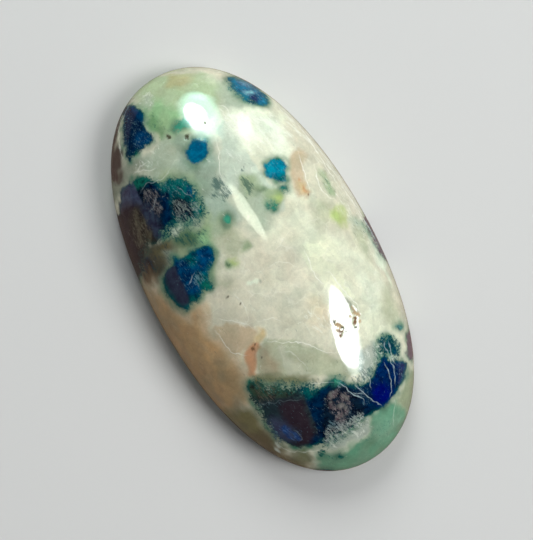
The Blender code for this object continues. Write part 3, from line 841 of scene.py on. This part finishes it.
FROST = [
    (0.7, [(-12.4, 3.4), (-11.6, 5.2), (-10, 6.8), (-8.4, 7), (-7.8, 5.6), (-9, 3.6), (-10.8, 2.6)], 0.8),
    (0.4, [(-6, 8), (-2, 9.2), (2, 9.3), (1.6, 8), (-2, 7.6)], 0.5),
    (0.5, [(14, 1.3), (15.2, 1), (15.5, -1), (15.3, -2.8), (14.6, -2.6), (14, -1), (13, -1.4), (13.2, 0)], 0.3),
    (0.45, [(9.2, 3.4), (9.4, 5.2), (10.6, 5.2), (11.6, 3.2), (11.8, 1.8), (10.4, 2)], 0.4),
    (0.5, oval(-16.7, -1.6, 0.6, 0.7), 0.4),
    (0.4, oval(-12.2, -3.8, 0.9, 1.6, 15), 0.5),
    (0.3, oval(0.6, -1.2, 1.2, 1.2), 0.8),
    (0.3, oval(6, 8.4, 4, 0.6), 0.6),
    (0.65, [(-10.4, 7.4), (-6, 8.3), (-2, 8.7), (2, 9), (2, 9.5), (-3, 9.5), (-8, 8.9), (-11, 8)], 0.3),
    (0.45, oval(-9.5, 1.8, 1.2, 0.5, 10), 0.4),
    (0.45, oval(5.6, 1.4, 1.6, 0.8, 30), 0.6),
]
grit = density(loose, GRIT) * topside
frost = density(loose, FROST) * topside
calm = density(firm, CALM)
flecks = density(loose, FLECKS) * topside
LINES = [
    # three sets, kept apart so that lines close together don't mix; each line has a strength
    [(1.0, [(11.3, 1.7), (12.1, 1.9), (12.9, 2.2), (13.7, 2.6), (14.3, 2.9)]),
     (0.8, [(10.9, 5.3), (11.8, 5.2), (12.6, 5), (13.5, 4.5)]),
     (0.7, [(2.2, -6), (2.8, -5.8), (3.6, -5.75), (4.4, -5.6), (5, -5), (5.25, -4.5)]),
     (0.8, [(4.7, -3), (5.2, -2.4), (5.7, -1.7), (6.2, -0.7), (6.9, 0.1), (7.8, 0.7), (8.3, 1.2), (8.6, 1.9)]),
     (0.6, [(-17, -2.9), (-16.4, -3.9), (-15.4, -4.9), (-14, -5.5), (-13.1, -5.8)]),
     (0.6, [(-2.6, -5.1), (-2.3, -5.4), (-2.1, -5.7), (-1.95, -6)]),
     (0.3, [(-9.6, -4.6), (-9.1, -5), (-8.7, -5.5), (-8.5, -5.9)]),
     (0.8, [(-5.6, 7.6), (-4.7, 7.3), (-3.6, 7), (-2.6, 7.3), (-2, 7.8)]),
     (0.7, [(-11.2, 1.6), (-10.4, 1.4), (-9.8, 1.15), (-9.2, 0.8), (-8.5, 0.5), (-7.7, 0.35)]),
     (0.6, [(-11.3, 4.3), (-11.3, 4.6), (-11.5, 5), (-11.2, 5.2), (-10.8, 5.3), (-10.5, 5.8), (-10.4, 6.4)]),
     (0.8, [(0, 3.4), (0.6, 3.25), (1.3, 3.2), (2.2, 3.1), (2.9, 3.2), (3.3, 3.5)]),
     (0.35, [(6.2, -2.2), (6.6, -1.6), (7.3, -1.3), (8.2, -1), (8.9, -1.2)])],
    [(1.0, [(10.4, 0.5), (11.2, 0.9), (12, 1.2), (12.8, 1.7), (13.4, 1.8)]),
     (0.9, [(11, 4.7), (11.9, 4.7), (12.7, 4.5), (13.6, 4.1), (14, 3.8)]),
     (0.6, [(1.5, -5.3), (1.8, -5), (2.4, -4.2), (3.1, -3.5), (3.8, -3.2)]),
     (0.5, [(0.2, -3.3), (0.9, -3.1), (1.6, -3), (2.3, -3.05), (2.9, -3.2)]),
     (0.6, [(9.6, 5.5), (10.1, 5.4), (10.8, 5.35)]),
     (0.15, [(9.2, -5.8), (9.6, -4.6), (10.1, -3.3), (10.6, -2.4)]),
     (0.35, [(-10.1, -5.9), (-10.6, -5), (-10.4, -4.3), (-10.4, -3.4), (-10.8, -2.5)]),
     (0.25, [(14.2, 4.2), (15, 3.7), (15.7, 3.2), (16.4, 2.9)]),
     (0.5, [(-11.8, -5.6), (-11.9, -5.1), (-12.1, -4.4), (-12.2, -3.6)]),
     (0.5, [(-13.5, 3), (-12.9, 3.5), (-11.8, 3.5), (-10.9, 4)]),
     (0.9, [(2.3, 4), (2.9, 4.3), (4.2, 4.5), (5.1, 4.7), (5.8, 4.9), (6.5, 4.9), (7, 4.8)]),
     (0.7, [(-7, 6.9), (-5.8, 6.6), (-4.8, 6.4), (-3.5, 6)]),
     (0.9, [(-9.6, 8.1), (-7.6, 8.3), (-5.8, 8.4), (-4.3, 8.4), (-2.8, 8.6)])],
    [(0.7, [(12, 1.3), (12.3, 1.6), (12.5, 2)]),
     (0.7, [(9.7, 5.9), (10.4, 5.7), (11.3, 5.5), (12, 5.5)]),
     (0.6, [(11.2, 3.1), (12, 2.9), (12.6, 2.7)]),
     (-0.4, [(4.6, -3.5), (5, -3.9), (5.3, -4.0)]),
     (0.4, [(-0.1, 0), (0, 1.2), (1.2, 2.3)]),
     (0.5, [(-13.2, 3.1), (-12.6, 3.1), (-11.9, 3.1)]),
     (0.5, [(3.3, -2.5), (3.6, -1.5), (4.2, -0.9)]),
     (0.5, [(-9, -3), (-8.6, -2.8), (-7.7, -2.3)]),
     (0.5, [(-11.3, -3.6), (-11.4, -4.2), (-11.7, -4.8), (-12, -5.6)]),
     (0.9, [(-3, 8.7), (-1.7, 8.9), (-0.2, 9.05), (1.4, 9.1), (3.1, 9.1)]),
     (0.4, [(12.5, -6.2), (13.6, -5.6), (14.3, -4.7), (14.8, -3.6), (15.1, -2.6)]),
     (0.3, [(12.3, -4.35), (12.8, -4.05), (13.3, -4), (13.45, -4.35)]),
     (0.5, [(9.6, -1.4), (10.1, -0.4), (10.5, 0.4)])],
]
PITS = [
    # x, y, half sizes, turn, depth in mm and paint
    (-12.27, -0.37, 0.27, 0.19, -15, 0.04, "pit olive"), (-13.0, -1.65, 0.23, 0.2, 20, 0.04, "pit olive"),
    (1.35, -3.1, 0.1, 0.1, 0, 0.03, "pit olive"), (0.4, -3.75, 0.12, 0.1, 0, 0.03, "pit olive"),
    (6.2, 2.66, 0.16, 0.13, 20, 0.04, "pit olive"), (6.7, 2.85, 0.38, 0.2, 30, 0.03, "pit tan"),
    (7.0, 2.6, 0.28, 0.18, 20, 0.03, "tan"), (7.2, 2.78, 0.26, 0.16, 60, 0.05, "pit brown"),
    (7.05, 3.06, 0.24, 0.11, 30, 0.04, "pit olive"), (7.42, 2.58, 0.16, 0.14, 0, 0.05, "pit brown"),
    (7.44, 3.18, 0.18, 0.14, 0, 0.04, "ash"), (6.15, 4.56, 0.34, 0.12, 15, 0.03, "pit tan"),
    (6.5, 4.5, 0.24, 0.13, 30, 0.03, "pit tan"), (6.5, 4.02, 0.18, 0.12, 0, 0.03, "pit tan"),
    (6.72, 4.74, 0.22, 0.12, 10, 0.03, "pit tan"), (6.86, 4.34, 0.24, 0.13, 50, 0.05, "pit brown"),
    (7.1, 4.15, 0.24, 0.15, -30, 0.06, "pit brown"), (7.24, 4.5, 0.16, 0.12, 0, 0.03, "pit tan"),
    (7.54, 4.02, 0.14, 0.12, 0, 0.03, "pit olive"),
    (9.42, 3.0, 0.09, 0.09, 0, 0.02, "ash"), (5.0, -4.05, 0.14, 0.12, 0, 0.03, "pit brown"),
    (4.75, -3.75, 0.1, 0.09, 0, 0.03, "pit brown"), (5.85, -3.72, 0.1, 0.1, 0, 0.02, "smoke"),
    (-3.6, 5.87, 0.1, 0.09, 0, 0.03, "pit brown"), (-12.5, 1.45, 0.16, 0.06, 0, 0.02, "ash"),
    (-4.9, -7.9, 0.12, 0.1, 0, 0.03, "dark smoke"), (0.55, -0.9, 0.12, 0.1, 0, 0.02, "ash"),
]


def line_fields(points):
    """For each set of lines, the signed distance to its nearest line and the strength of that line."""
    sides = np.full((len(points), 3), REACH)
    strengths = np.zeros((len(points), 3))
    for column, lines in enumerate(LINES):
        for strength, line in lines:
            side, ends = side_of_line(points, line)
            nearer = np.abs(side) < np.abs(sides[:, column])
            near = 1.0 - smooth_step(0.35, 0.55, np.abs(side))
            sides[nearer, column] = side[nearer]
            strengths[nearer, column] = (strength * ends * near)[nearer]
    return sides, strengths * topside[:, None]


line_side, line_strength = line_fields(firm)


def pit_fields(points):
    """How deep in mm and how open each point's pit is. A pit's floor is round: 1 - (distance from centre)^2."""
    hollow = np.zeros(len(points))
    openness = np.zeros(len(points))
    for x, y, half_x, half_y, turn, deep, name in PITS:
        angle = math.radians(turn)
        u = (points[:, 0] - x) * math.cos(angle) + (points[:, 1] - y) * math.sin(angle)
        v = (points[:, 1] - y) * math.cos(angle) - (points[:, 0] - x) * math.sin(angle)
        spread = np.hypot(u / half_x, v / half_y) + 2.0 * on_back
        hollow = np.maximum(hollow, deep * np.clip(1.0 - spread**2, 0.0, 1.0))
        share = 1.0 - smooth_step(0.7, 1.15, spread)
        openness = np.maximum(openness, share)
        rock_colour[:] += share[:, None] * (ROCK[name] - rock_colour)
    return hollow, openness


pit_depth, pit_open = pit_fields(wavy(plain_points, 0.04, 0.25, 61))
print(f"{len(PITS)} pits, {sum(len(lines) for lines in LINES)} lines, deepest pit {pit_depth.max():.2f} mm")

# %% [markdown]
# ## Relief
# Polishing follows hardness, so a real stone is never a perfect dome: the glints on it waver. The net is
# pushed in or out along its own surface direction by a few hundredths of a millimetre at most: long
# ripples from hand polishing, crystals left a hair proud, sunken cracks and the pits.

# %% Push the net in and out
def stone_mesh(points):
    mesh = bpy.data.meshes.new("polished_stone")
    mesh.from_pydata((points * MM).tolist(), [], squares.tolist())
    mesh.shade_smooth()
    return mesh


def outward_directions(mesh):
    """The surface direction at each point, as Blender averages it from the squares round it."""
    found = np.empty(3 * len(mesh.vertices))
    mesh.vertices.foreach_get("normal", found)
    return found.reshape(-1, 3)


def relief(points):
    """Height in mm above the plain surface: ripples, proud crystals, sunken lines and pits."""
    height = 0.004 * ripples(points, 4.5, 71) + 0.0012 * ripples(points, 1.3, 73)
    height += 0.005 * smooth_step(-0.08, 0.12, crystal_depth)
    height -= (0.004 * np.abs(line_strength) * np.exp(-((line_side / 0.12) ** 2))).sum(1)
    height -= 0.004 * grit * np.abs(ripples(points, 0.5, 79))
    return np.where(on_back, 0.0, height) - pit_depth


plain_mesh = stone_mesh(plain_points)
away = outward_directions(plain_mesh)
height = relief(plain_points)
mesh = stone_mesh(plain_points + height[:, None] * away)
bpy.data.meshes.remove(plain_mesh)
print(f"Relief runs from {height.min():.3f} to {height.max():.3f} mm")


def store(name, values):
    """Keeps one number or one direction for each point of the mesh, which the material reads by name."""
    kind, key = ("FLOAT", "value") if values.ndim == 1 else ("FLOAT_VECTOR", "vector")
    mesh.attributes.new(name, kind, "POINT").data.foreach_set(key, values.astype(np.float32).ravel())


store("rock_colour", np.clip(rock_colour, 0.0, 1.0))
store("mineral_colour", mineral_colour)
store("crystal_depth", crystal_depth)
store("grit", grit)
store("flecks", flecks)
store("frost", frost)
store("fray", fray)
store("calm", calm)
store("pale_colour", pale_colour)
store("line_side", line_side)
store("line_strength", line_strength)
store("pit", pit_open)
store("dull", 0.45 * (1.0 - smooth_step(0.0, 0.3, plain_points[:, 2])))

# %% [markdown]
# ## The polished finish
# The material only has to break up what the attributes say. Node groups do the parts that come back: a
# ragged edge, a thicket of grains and a hair line. Each reads the object's own coordinates in millimetres,
# so the grain keeps its size on every side of the stone.

# %% Node helpers
def add_node(tree, kind, inputs=None, **settings):
    """Adds a node, sets its settings, and fills its inputs with numbers or with links."""
    made = tree.nodes.new(kind)
    for name, value in settings.items():
        setattr(made, name, value)
    for key, value in (inputs or {}).items():
        if isinstance(value, bpy.types.NodeSocket):
            tree.links.new(value, made.inputs[key])
        else:
            made.inputs[key].default_value = value
    return made


def sums(tree, operation, *values):
    """A Math node on numbers or sockets."""
    return add_node(tree, "ShaderNodeMath", dict(enumerate(values)), operation=operation).outputs[0]


def placed_group(tree, group, inputs):
    """Puts a node group into a tree and fills its inputs."""
    made = tree.nodes.new("ShaderNodeGroup")
    made.node_tree = group
    for name, value in inputs.items():
        if isinstance(value, bpy.types.NodeSocket):
            tree.links.new(value, made.inputs[name])
        else:
            made.inputs[name].default_value = value
    return made


def soft_step(tree, value, low_end, high_end):
    """0 below the low end, 1 above the high end, with an S-shaped climb."""
    inputs = {"Value": value, "From Min": low_end, "From Max": high_end}
    made = add_node(tree, "ShaderNodeMapRange", inputs, interpolation_type="SMOOTHSTEP")
    return made.outputs["Result"]


def blend(tree, share, below, above, blend_type="MIX"):
    """One colour over another."""
    made = add_node(tree, "ShaderNodeMix", {0: share, 6: below, 7: above}, data_type="RGBA",
                    blend_type=blend_type)
    return made.outputs[2]


def noise(tree, place, scale, detail=3.0, roughness=0.55, distortion=0.0):
    """Noise of about 0 to 1 with so many lumps per millimetre."""
    inputs = {"Vector": place, "Scale": scale, "Detail": detail, "Roughness": roughness,
              "Distortion": distortion}
    return add_node(tree, "ShaderNodeTexNoise", inputs).outputs["Fac"]


def new_group(name, inputs, outputs):
    """A node group with these float, colour or vector sockets. Returns the group, its way in and its way out."""
    group = bpy.data.node_groups.new(name, "ShaderNodeTree")
    for direction, sockets in (("INPUT", inputs), ("OUTPUT", outputs)):
        for socket_name, kind in sockets.items():
            group.interface.new_socket(socket_name, in_out=direction, socket_type=f"NodeSocket{kind}")
    return group, group.nodes.new("NodeGroupInput").outputs, group.nodes.new("NodeGroupOutput").inputs


# %% Ragged edge, thicket and hair line
def ragged_edge_group():
    """Depth in mm plus two sizes of noise, cut to a soft mask. A frayed edge is a flatter slope with more noise."""
    group, given, made = new_group("ragged edge", {"Depth": "Float", "Place": "Vector", "Fray": "Float"},
                                   {"Depth": "Float", "Mask": "Float"})
    coarse = sums(group, "SUBTRACT", noise(group, given["Place"], 1.6, 3.0, 0.6), 0.5)
    fine = sums(group, "SUBTRACT", noise(group, given["Place"], 4.5, 4.0, 0.75), 0.5)
    slope = sums(group, "MULTIPLY_ADD", given["Fray"], -0.72, 1.0)
    depth = sums(group, "MULTIPLY_ADD", given["Depth"], slope, sums(group, "MULTIPLY", coarse, 0.45))
    depth = sums(group, "MULTIPLY_ADD", fine, sums(group, "MULTIPLY_ADD", given["Fray"], 1.1, 0.3), depth)
    group.links.new(depth, made["Depth"])
    group.links.new(soft_step(group, depth, -0.15, 0.12), made["Mask"])
    return group


FIBRE_TURN, FIBRE_LENGTH = math.radians(12.0), 3.8


def thicket_group():
    """A mask of grains and hair-fine threads that fills more of the surface as the density grows.

    Everything is drawn out along the fibres' direction, as hair-fine crystals grow side by side. A thread runs where a folded noise passes its middle value: |noise - 0.5| is close to 0 there.
    """
    group, given, made = new_group("thicket", {"Density": "Float", "Place": "Vector", "Scale": "Float"},
                                   {"Mask": "Float"})
    combed = add_node(group, "ShaderNodeMapping", {"Vector": given["Place"], "Rotation": (0.0, 0.0, FIBRE_TURN),
                                                   "Scale": (FIBRE_LENGTH, 1.0, 1.0)},
                      vector_type="TEXTURE").outputs[0]
    grains = noise(group, combed, given["Scale"], 5.0, 0.72, 0.3)
    level = sums(group, "ADD", sums(group, "MULTIPLY_ADD", grains, 2.6, -1.3), given["Density"])
    filled = soft_step(group, level, 0.5, 0.95)
    folds = noise(group, combed, sums(group, "MULTIPLY", given["Scale"], 0.8), 3.0, 0.6, 0.6)
    from_fold = sums(group, "ABSOLUTE", sums(group, "SUBTRACT", folds, 0.5))
    threads = sums(group, "SUBTRACT", 1.0, soft_step(group, from_fold, 0.005, 0.04))
    threads = sums(group, "MULTIPLY", threads, soft_step(group, level, 0.25, 0.7))
    group.links.new(sums(group, "MAXIMUM", filled, threads), made["Mask"])
    return group


def hair_line_group():
    """A thin wavering line where the signed distance is near 0, times its strength."""
    group, given, made = new_group("hair line", {"Side": "Float", "Strength": "Float", "Place": "Vector"},
                                   {"Line": "Float"})
    waver = sums(group, "MULTIPLY_ADD", noise(group, given["Place"], 5.0, 2.0), 0.08, -0.04)
    away_from = sums(group, "ABSOLUTE", sums(group, "ADD", given["Side"], waver))
    line = sums(group, "SUBTRACT", 1.0, soft_step(group, away_from, 0.005, 0.065))
    patchy = soft_step(group, noise(group, given["Place"], 2.2, 2.0), 0.3, 0.55)
    worn = sums(group, "MULTIPLY_ADD", patchy, 0.6, 0.4)
    group.links.new(sums(group, "MULTIPLY", sums(group, "MULTIPLY", line, given["Strength"]), worn),
                    made["Line"])
    return group


def tinted_clouds_group():
    """Multiplies a colour by something between a dim and a bright tint, as a cloudy noise says."""
    group, given, made = new_group("tinted clouds", {"Colour": "Color", "Place": "Vector", "Scale": "Float",
                                                     "Dim": "Color", "Bright": "Color", "Softness": "Float"},
                                   {"Colour": "Color"})
    cloud = noise(group, given["Place"], given["Scale"], 5.0, 0.68, 0.4)
    share = soft_step(group, cloud, sums(group, "SUBTRACT", 0.5, given["Softness"]),
                      sums(group, "ADD", 0.5, given["Softness"]))
    tint = blend(group, share, given["Dim"], given["Bright"])
    group.links.new(blend(group, 1.0, given["Colour"], tint, "MULTIPLY"), made["Colour"])
    return group


def healed_flakes_group():
    """Cells with wavering borders, each a little lighter or darker, with faint pale seams in pale rock."""
    group, given, made = new_group("healed flakes", {"Colour": "Color", "Place": "Vector", "Scale": "Float",
                                                     "Contrast": "Float", "Seam": "Float"}, {"Colour": "Color"})
    scale = given["Scale"]
    wobble = add_node(group, "ShaderNodeTexNoise", {"Vector": given["Place"], "Scale": scale, "Detail": 2.0,
                                                    "Roughness": 0.5}).outputs["Color"]
    shift = add_node(group, "ShaderNodeVectorMath", {0: wobble, "Scale": sums(group, "DIVIDE", 1.4, scale)},
                     operation="SCALE").outputs[0]
    moved = add_node(group, "ShaderNodeVectorMath", {0: shift, 1: given["Place"]}).outputs[0]
    cell = add_node(group, "ShaderNodeTexVoronoi", {"Vector": moved, "Scale": scale}, feature="F1")
    border = add_node(group, "ShaderNodeTexVoronoi", {"Vector": moved, "Scale": scale},
                      feature="DISTANCE_TO_EDGE")
    dice = add_node(group, "ShaderNodeSeparateXYZ", {0: cell.outputs["Color"]}).outputs[0]
    shade = sums(group, "MULTIPLY_ADD", sums(group, "MULTIPLY_ADD", dice, 2.0, -1.0), given["Contrast"], 1.0)
    colour = blend(group, 1.0, given["Colour"], shade, "MULTIPLY")
    from_border = sums(group, "DIVIDE", border.outputs["Distance"], scale)
    line = sums(group, "SUBTRACT", 1.0, soft_step(group, from_border, 0.0, 0.08))
    paleness = add_node(group, "ShaderNodeSeparateXYZ", {0: colour}).outputs[2]
    patchy = sums(group, "MULTIPLY", soft_step(group, noise(group, given["Place"], 0.7, 2.0), 0.45, 0.65),
                  soft_step(group, paleness, 0.25, 0.5))
    share = sums(group, "MULTIPLY", sums(group, "MULTIPLY", line, patchy), given["Seam"])
    group.links.new(blend(group, share, colour, (0.88, 0.90, 0.78, 1.0)), made["Colour"])
    return group


RAGGED_EDGE, THICKET, HAIR_LINE = ragged_edge_group(), thicket_group(), hair_line_group()
TINTED_CLOUDS, HEALED_FLAKES = tinted_clouds_group(), healed_flakes_group()

# %% The stone's material
POLISH, SUBSURFACE, STONE_IOR = 0.07, 0.2, 1.52


def kept(tree, name, output="Fac"):
    """A value that the mesh keeps at its points."""
    return add_node(tree, "ShaderNodeAttribute", attribute_name=name).outputs[output]


def place_in_mm(tree):
    here = add_node(tree, "ShaderNodeTexCoord").outputs["Object"]
    return add_node(tree, "ShaderNodeVectorMath", {0: here, "Scale": 1.0 / MM}, operation="SCALE").outputs[0]


def varied(tree, place, colour, scale, dim, bright, softness=0.2):
    """The colour under tinted clouds of this many lumps per millimetre."""
    inputs = {"Colour": colour, "Place": place, "Scale": scale, "Dim": (*dim, 1.0), "Bright": (*bright, 1.0),
              "Softness": softness}
    return placed_group(tree, TINTED_CLOUDS, inputs).outputs["Colour"]


def flaked(tree, place, colour, scale, contrast, seam):
    """The colour broken into healed flakes, this many to a millimetre."""
    inputs = {"Colour": colour, "Place": place, "Scale": scale, "Contrast": contrast, "Seam": seam}
    return placed_group(tree, HEALED_FLAKES, inputs).outputs["Colour"]


def rock_layer(tree, place):
    """Cloudy rock: the painted colour varied by tinted clouds, healed flakes, sugar grain and frost."""
    colour = kept(tree, "rock_colour", "Vector")
    colour = varied(tree, place, colour, 0.6, (0.91, 0.96, 0.94), (1.07, 1.03, 1.02), 0.4)
    colour = varied(tree, place, colour, 1.6, (0.87, 0.88, 0.87), (1.12, 1.11, 1.12), 0.4)
    colour = flaked(tree, place, colour, 0.55, 0.06, 0.25)
    colour = flaked(tree, place, colour, 1.3, 0.035, 0.06)
    sugar = sums(tree, "MULTIPLY_ADD", noise(tree, place, 5.0, 5.0, 0.8), 0.4, 0.8)
    colour = blend(tree, 1.0, colour, sugar, "MULTIPLY")
    frost = placed_group(tree, THICKET, {"Density": kept(tree, "frost"), "Place": place, "Scale": 2.6})
    return blend(tree, sums(tree, "MULTIPLY", frost.outputs["Mask"], 0.55), colour, (0.88, 0.92, 0.82, 1.0))


def mineral_layer(tree, place, depth):
    """Crystals: teal at the rim, their own colour within, mottled, with pale flecks."""
    plain = kept(tree, "mineral_colour", "Vector")
    mottled = varied(tree, place, plain, 1.8, (0.5, 0.35, 0.5), (1.4, 1.85, 1.55))
    calm = kept(tree, "calm")
    core = blend(tree, calm, mottled, plain)
    rim = blend(tree, sums(tree, "MULTIPLY_ADD", calm, -0.7, 0.65), core, (0.006, 0.105, 0.095, 1.0))
    body = blend(tree, soft_step(tree, depth, 0.0, 0.35), rim, core)
    flecks = placed_group(tree, THICKET, {"Density": kept(tree, "flecks"), "Place": place, "Scale": 6.5})
    pale = varied(tree, place, kept(tree, "pale_colour", "Vector"), 3.0, (0.6, 0.6, 0.6), (1.4, 1.4, 1.4))
    return blend(tree, sums(tree, "MULTIPLY", flecks.outputs["Mask"], 0.75), body, pale)


def stone_material():
    look = bpy.data.materials.new("polished_stone")
    look.use_nodes = True
    tree = look.node_tree
    place = place_in_mm(tree)
    edge = placed_group(tree, RAGGED_EDGE, {"Depth": kept(tree, "crystal_depth"), "Place": place,
                                            "Fray": kept(tree, "fray")})
    thicket = placed_group(tree, THICKET, {"Density": kept(tree, "grit"), "Place": place, "Scale": 4.2})
    rock = rock_layer(tree, place)
    mineral = mineral_layer(tree, place, edge.outputs["Depth"])
    dark = sums(tree, "MAXIMUM", edge.outputs["Mask"], sums(tree, "MULTIPLY", thicket.outputs["Mask"], 0.7))
    colour = blend(tree, dark, rock, mineral)
    colour = line_layer(tree, place, colour, dark)
    pit = placed_group(tree, THICKET, {"Density": kept(tree, "pit"), "Place": place, "Scale": 4.0})
    dull = sums(tree, "MAXIMUM", kept(tree, "dull"), pit.outputs["Mask"])
    smear = noise(tree, place, 1.5, 4.0)
    roughness = sums(tree, "ADD", sums(tree, "MULTIPLY_ADD", dull, 0.8, POLISH - 0.02),
                     sums(tree, "MULTIPLY", smear, 0.05))
    peel = add_node(tree, "ShaderNodeBump", {"Height": noise(tree, place, 3.0, 2.0), "Strength": 0.25,
                                             "Distance": 2e-6})
    surface = tree.nodes["Principled BSDF"]
    for key, value in (("Base Color", colour), ("Roughness", roughness), ("Normal", peel.outputs["Normal"])):
        tree.links.new(value, surface.inputs[key])
    surface.inputs["IOR"].default_value = STONE_IOR
    surface.inputs["Subsurface Weight"].default_value = SUBSURFACE
    surface.inputs["Subsurface Radius"].default_value = (1.0, 1.0, 0.8)
    surface.inputs["Subsurface Scale"].default_value = 0.5 * MM
    return look


def line_layer(tree, place, colour, on_crystal):
    """Lays the pale lines over the colour, whitish on rock and bluer on a crystal, and sinks the dark ones."""
    sides = add_node(tree, "ShaderNodeSeparateXYZ", {0: kept(tree, "line_side", "Vector")})
    strengths = add_node(tree, "ShaderNodeSeparateXYZ", {0: kept(tree, "line_strength", "Vector")})
    total = 0.0
    for axis in range(3):
        line = placed_group(tree, HAIR_LINE, {"Side": sides.outputs[axis], "Strength": strengths.outputs[axis],
                                              "Place": place})
        total = sums(tree, "ADD", total, line.outputs["Line"])
    pale = sums(tree, "MAXIMUM", total, 0.0)
    dark = sums(tree, "MAXIMUM", sums(tree, "MULTIPLY", total, -1.0), 0.0)
    white = blend(tree, on_crystal, (0.88, 0.90, 0.80, 1.0), (0.40, 0.52, 0.54, 1.0))
    colour = blend(tree, sums(tree, "MULTIPLY", pale, 0.9), colour, white)
    return blend(tree, dark, colour, (0.05, 0.04, 0.03, 1.0))


mesh.materials.append(stone_material())
stone = bpy.data.objects.new("polished_stone", mesh)
bpy.context.scene.collection.objects.link(stone)
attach(stone, "root")
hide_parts("cabochon")

# %% [markdown]
# ## The floor
# The stone lies on a plain pale floor, which also throws a little light back up at its side wall. A
# polished rim mirrors what it lies on, and a pale floor would veil the dark crystals there. So a Light
# Path node gives the floor a darker, warmer colour in reflections only, like a workbench of brown wood.

# %% Lay the floor
FLOOR_HALF = 1500.0
FLOOR_DROP = 0.02
PAPER, BENCH = (0.62, 0.62, 0.61, 1.0), (0.23, 0.15, 0.12, 1.0)
PAPER_ROUGHNESS = 0.7


def paper_material():
    """Pale paper to the eye, and a brown bench in the polish of the stone."""
    look = bpy.data.materials.new("paper")
    look.use_nodes = True
    tree = look.node_tree
    surface = tree.nodes["Principled BSDF"]
    in_polish = add_node(tree, "ShaderNodeLightPath").outputs["Is Glossy Ray"]
    tree.links.new(blend(tree, in_polish, PAPER, BENCH), surface.inputs["Base Color"])
    surface.inputs["Roughness"].default_value = PAPER_ROUGHNESS
    return look


corners = np.array([(-1, -1, 0), (1, -1, 0), (1, 1, 0), (-1, 1, 0)]) * FLOOR_HALF
floor_mesh = bpy.data.meshes.new("floor")
floor_mesh.from_pydata(((corners - (0, 0, FLOOR_DROP)) * MM).tolist(), [], [(0, 1, 2, 3)])
floor_mesh.materials.append(paper_material())
floor = bpy.data.objects.new("floor", floor_mesh)
bpy.context.scene.collection.objects.link(floor)
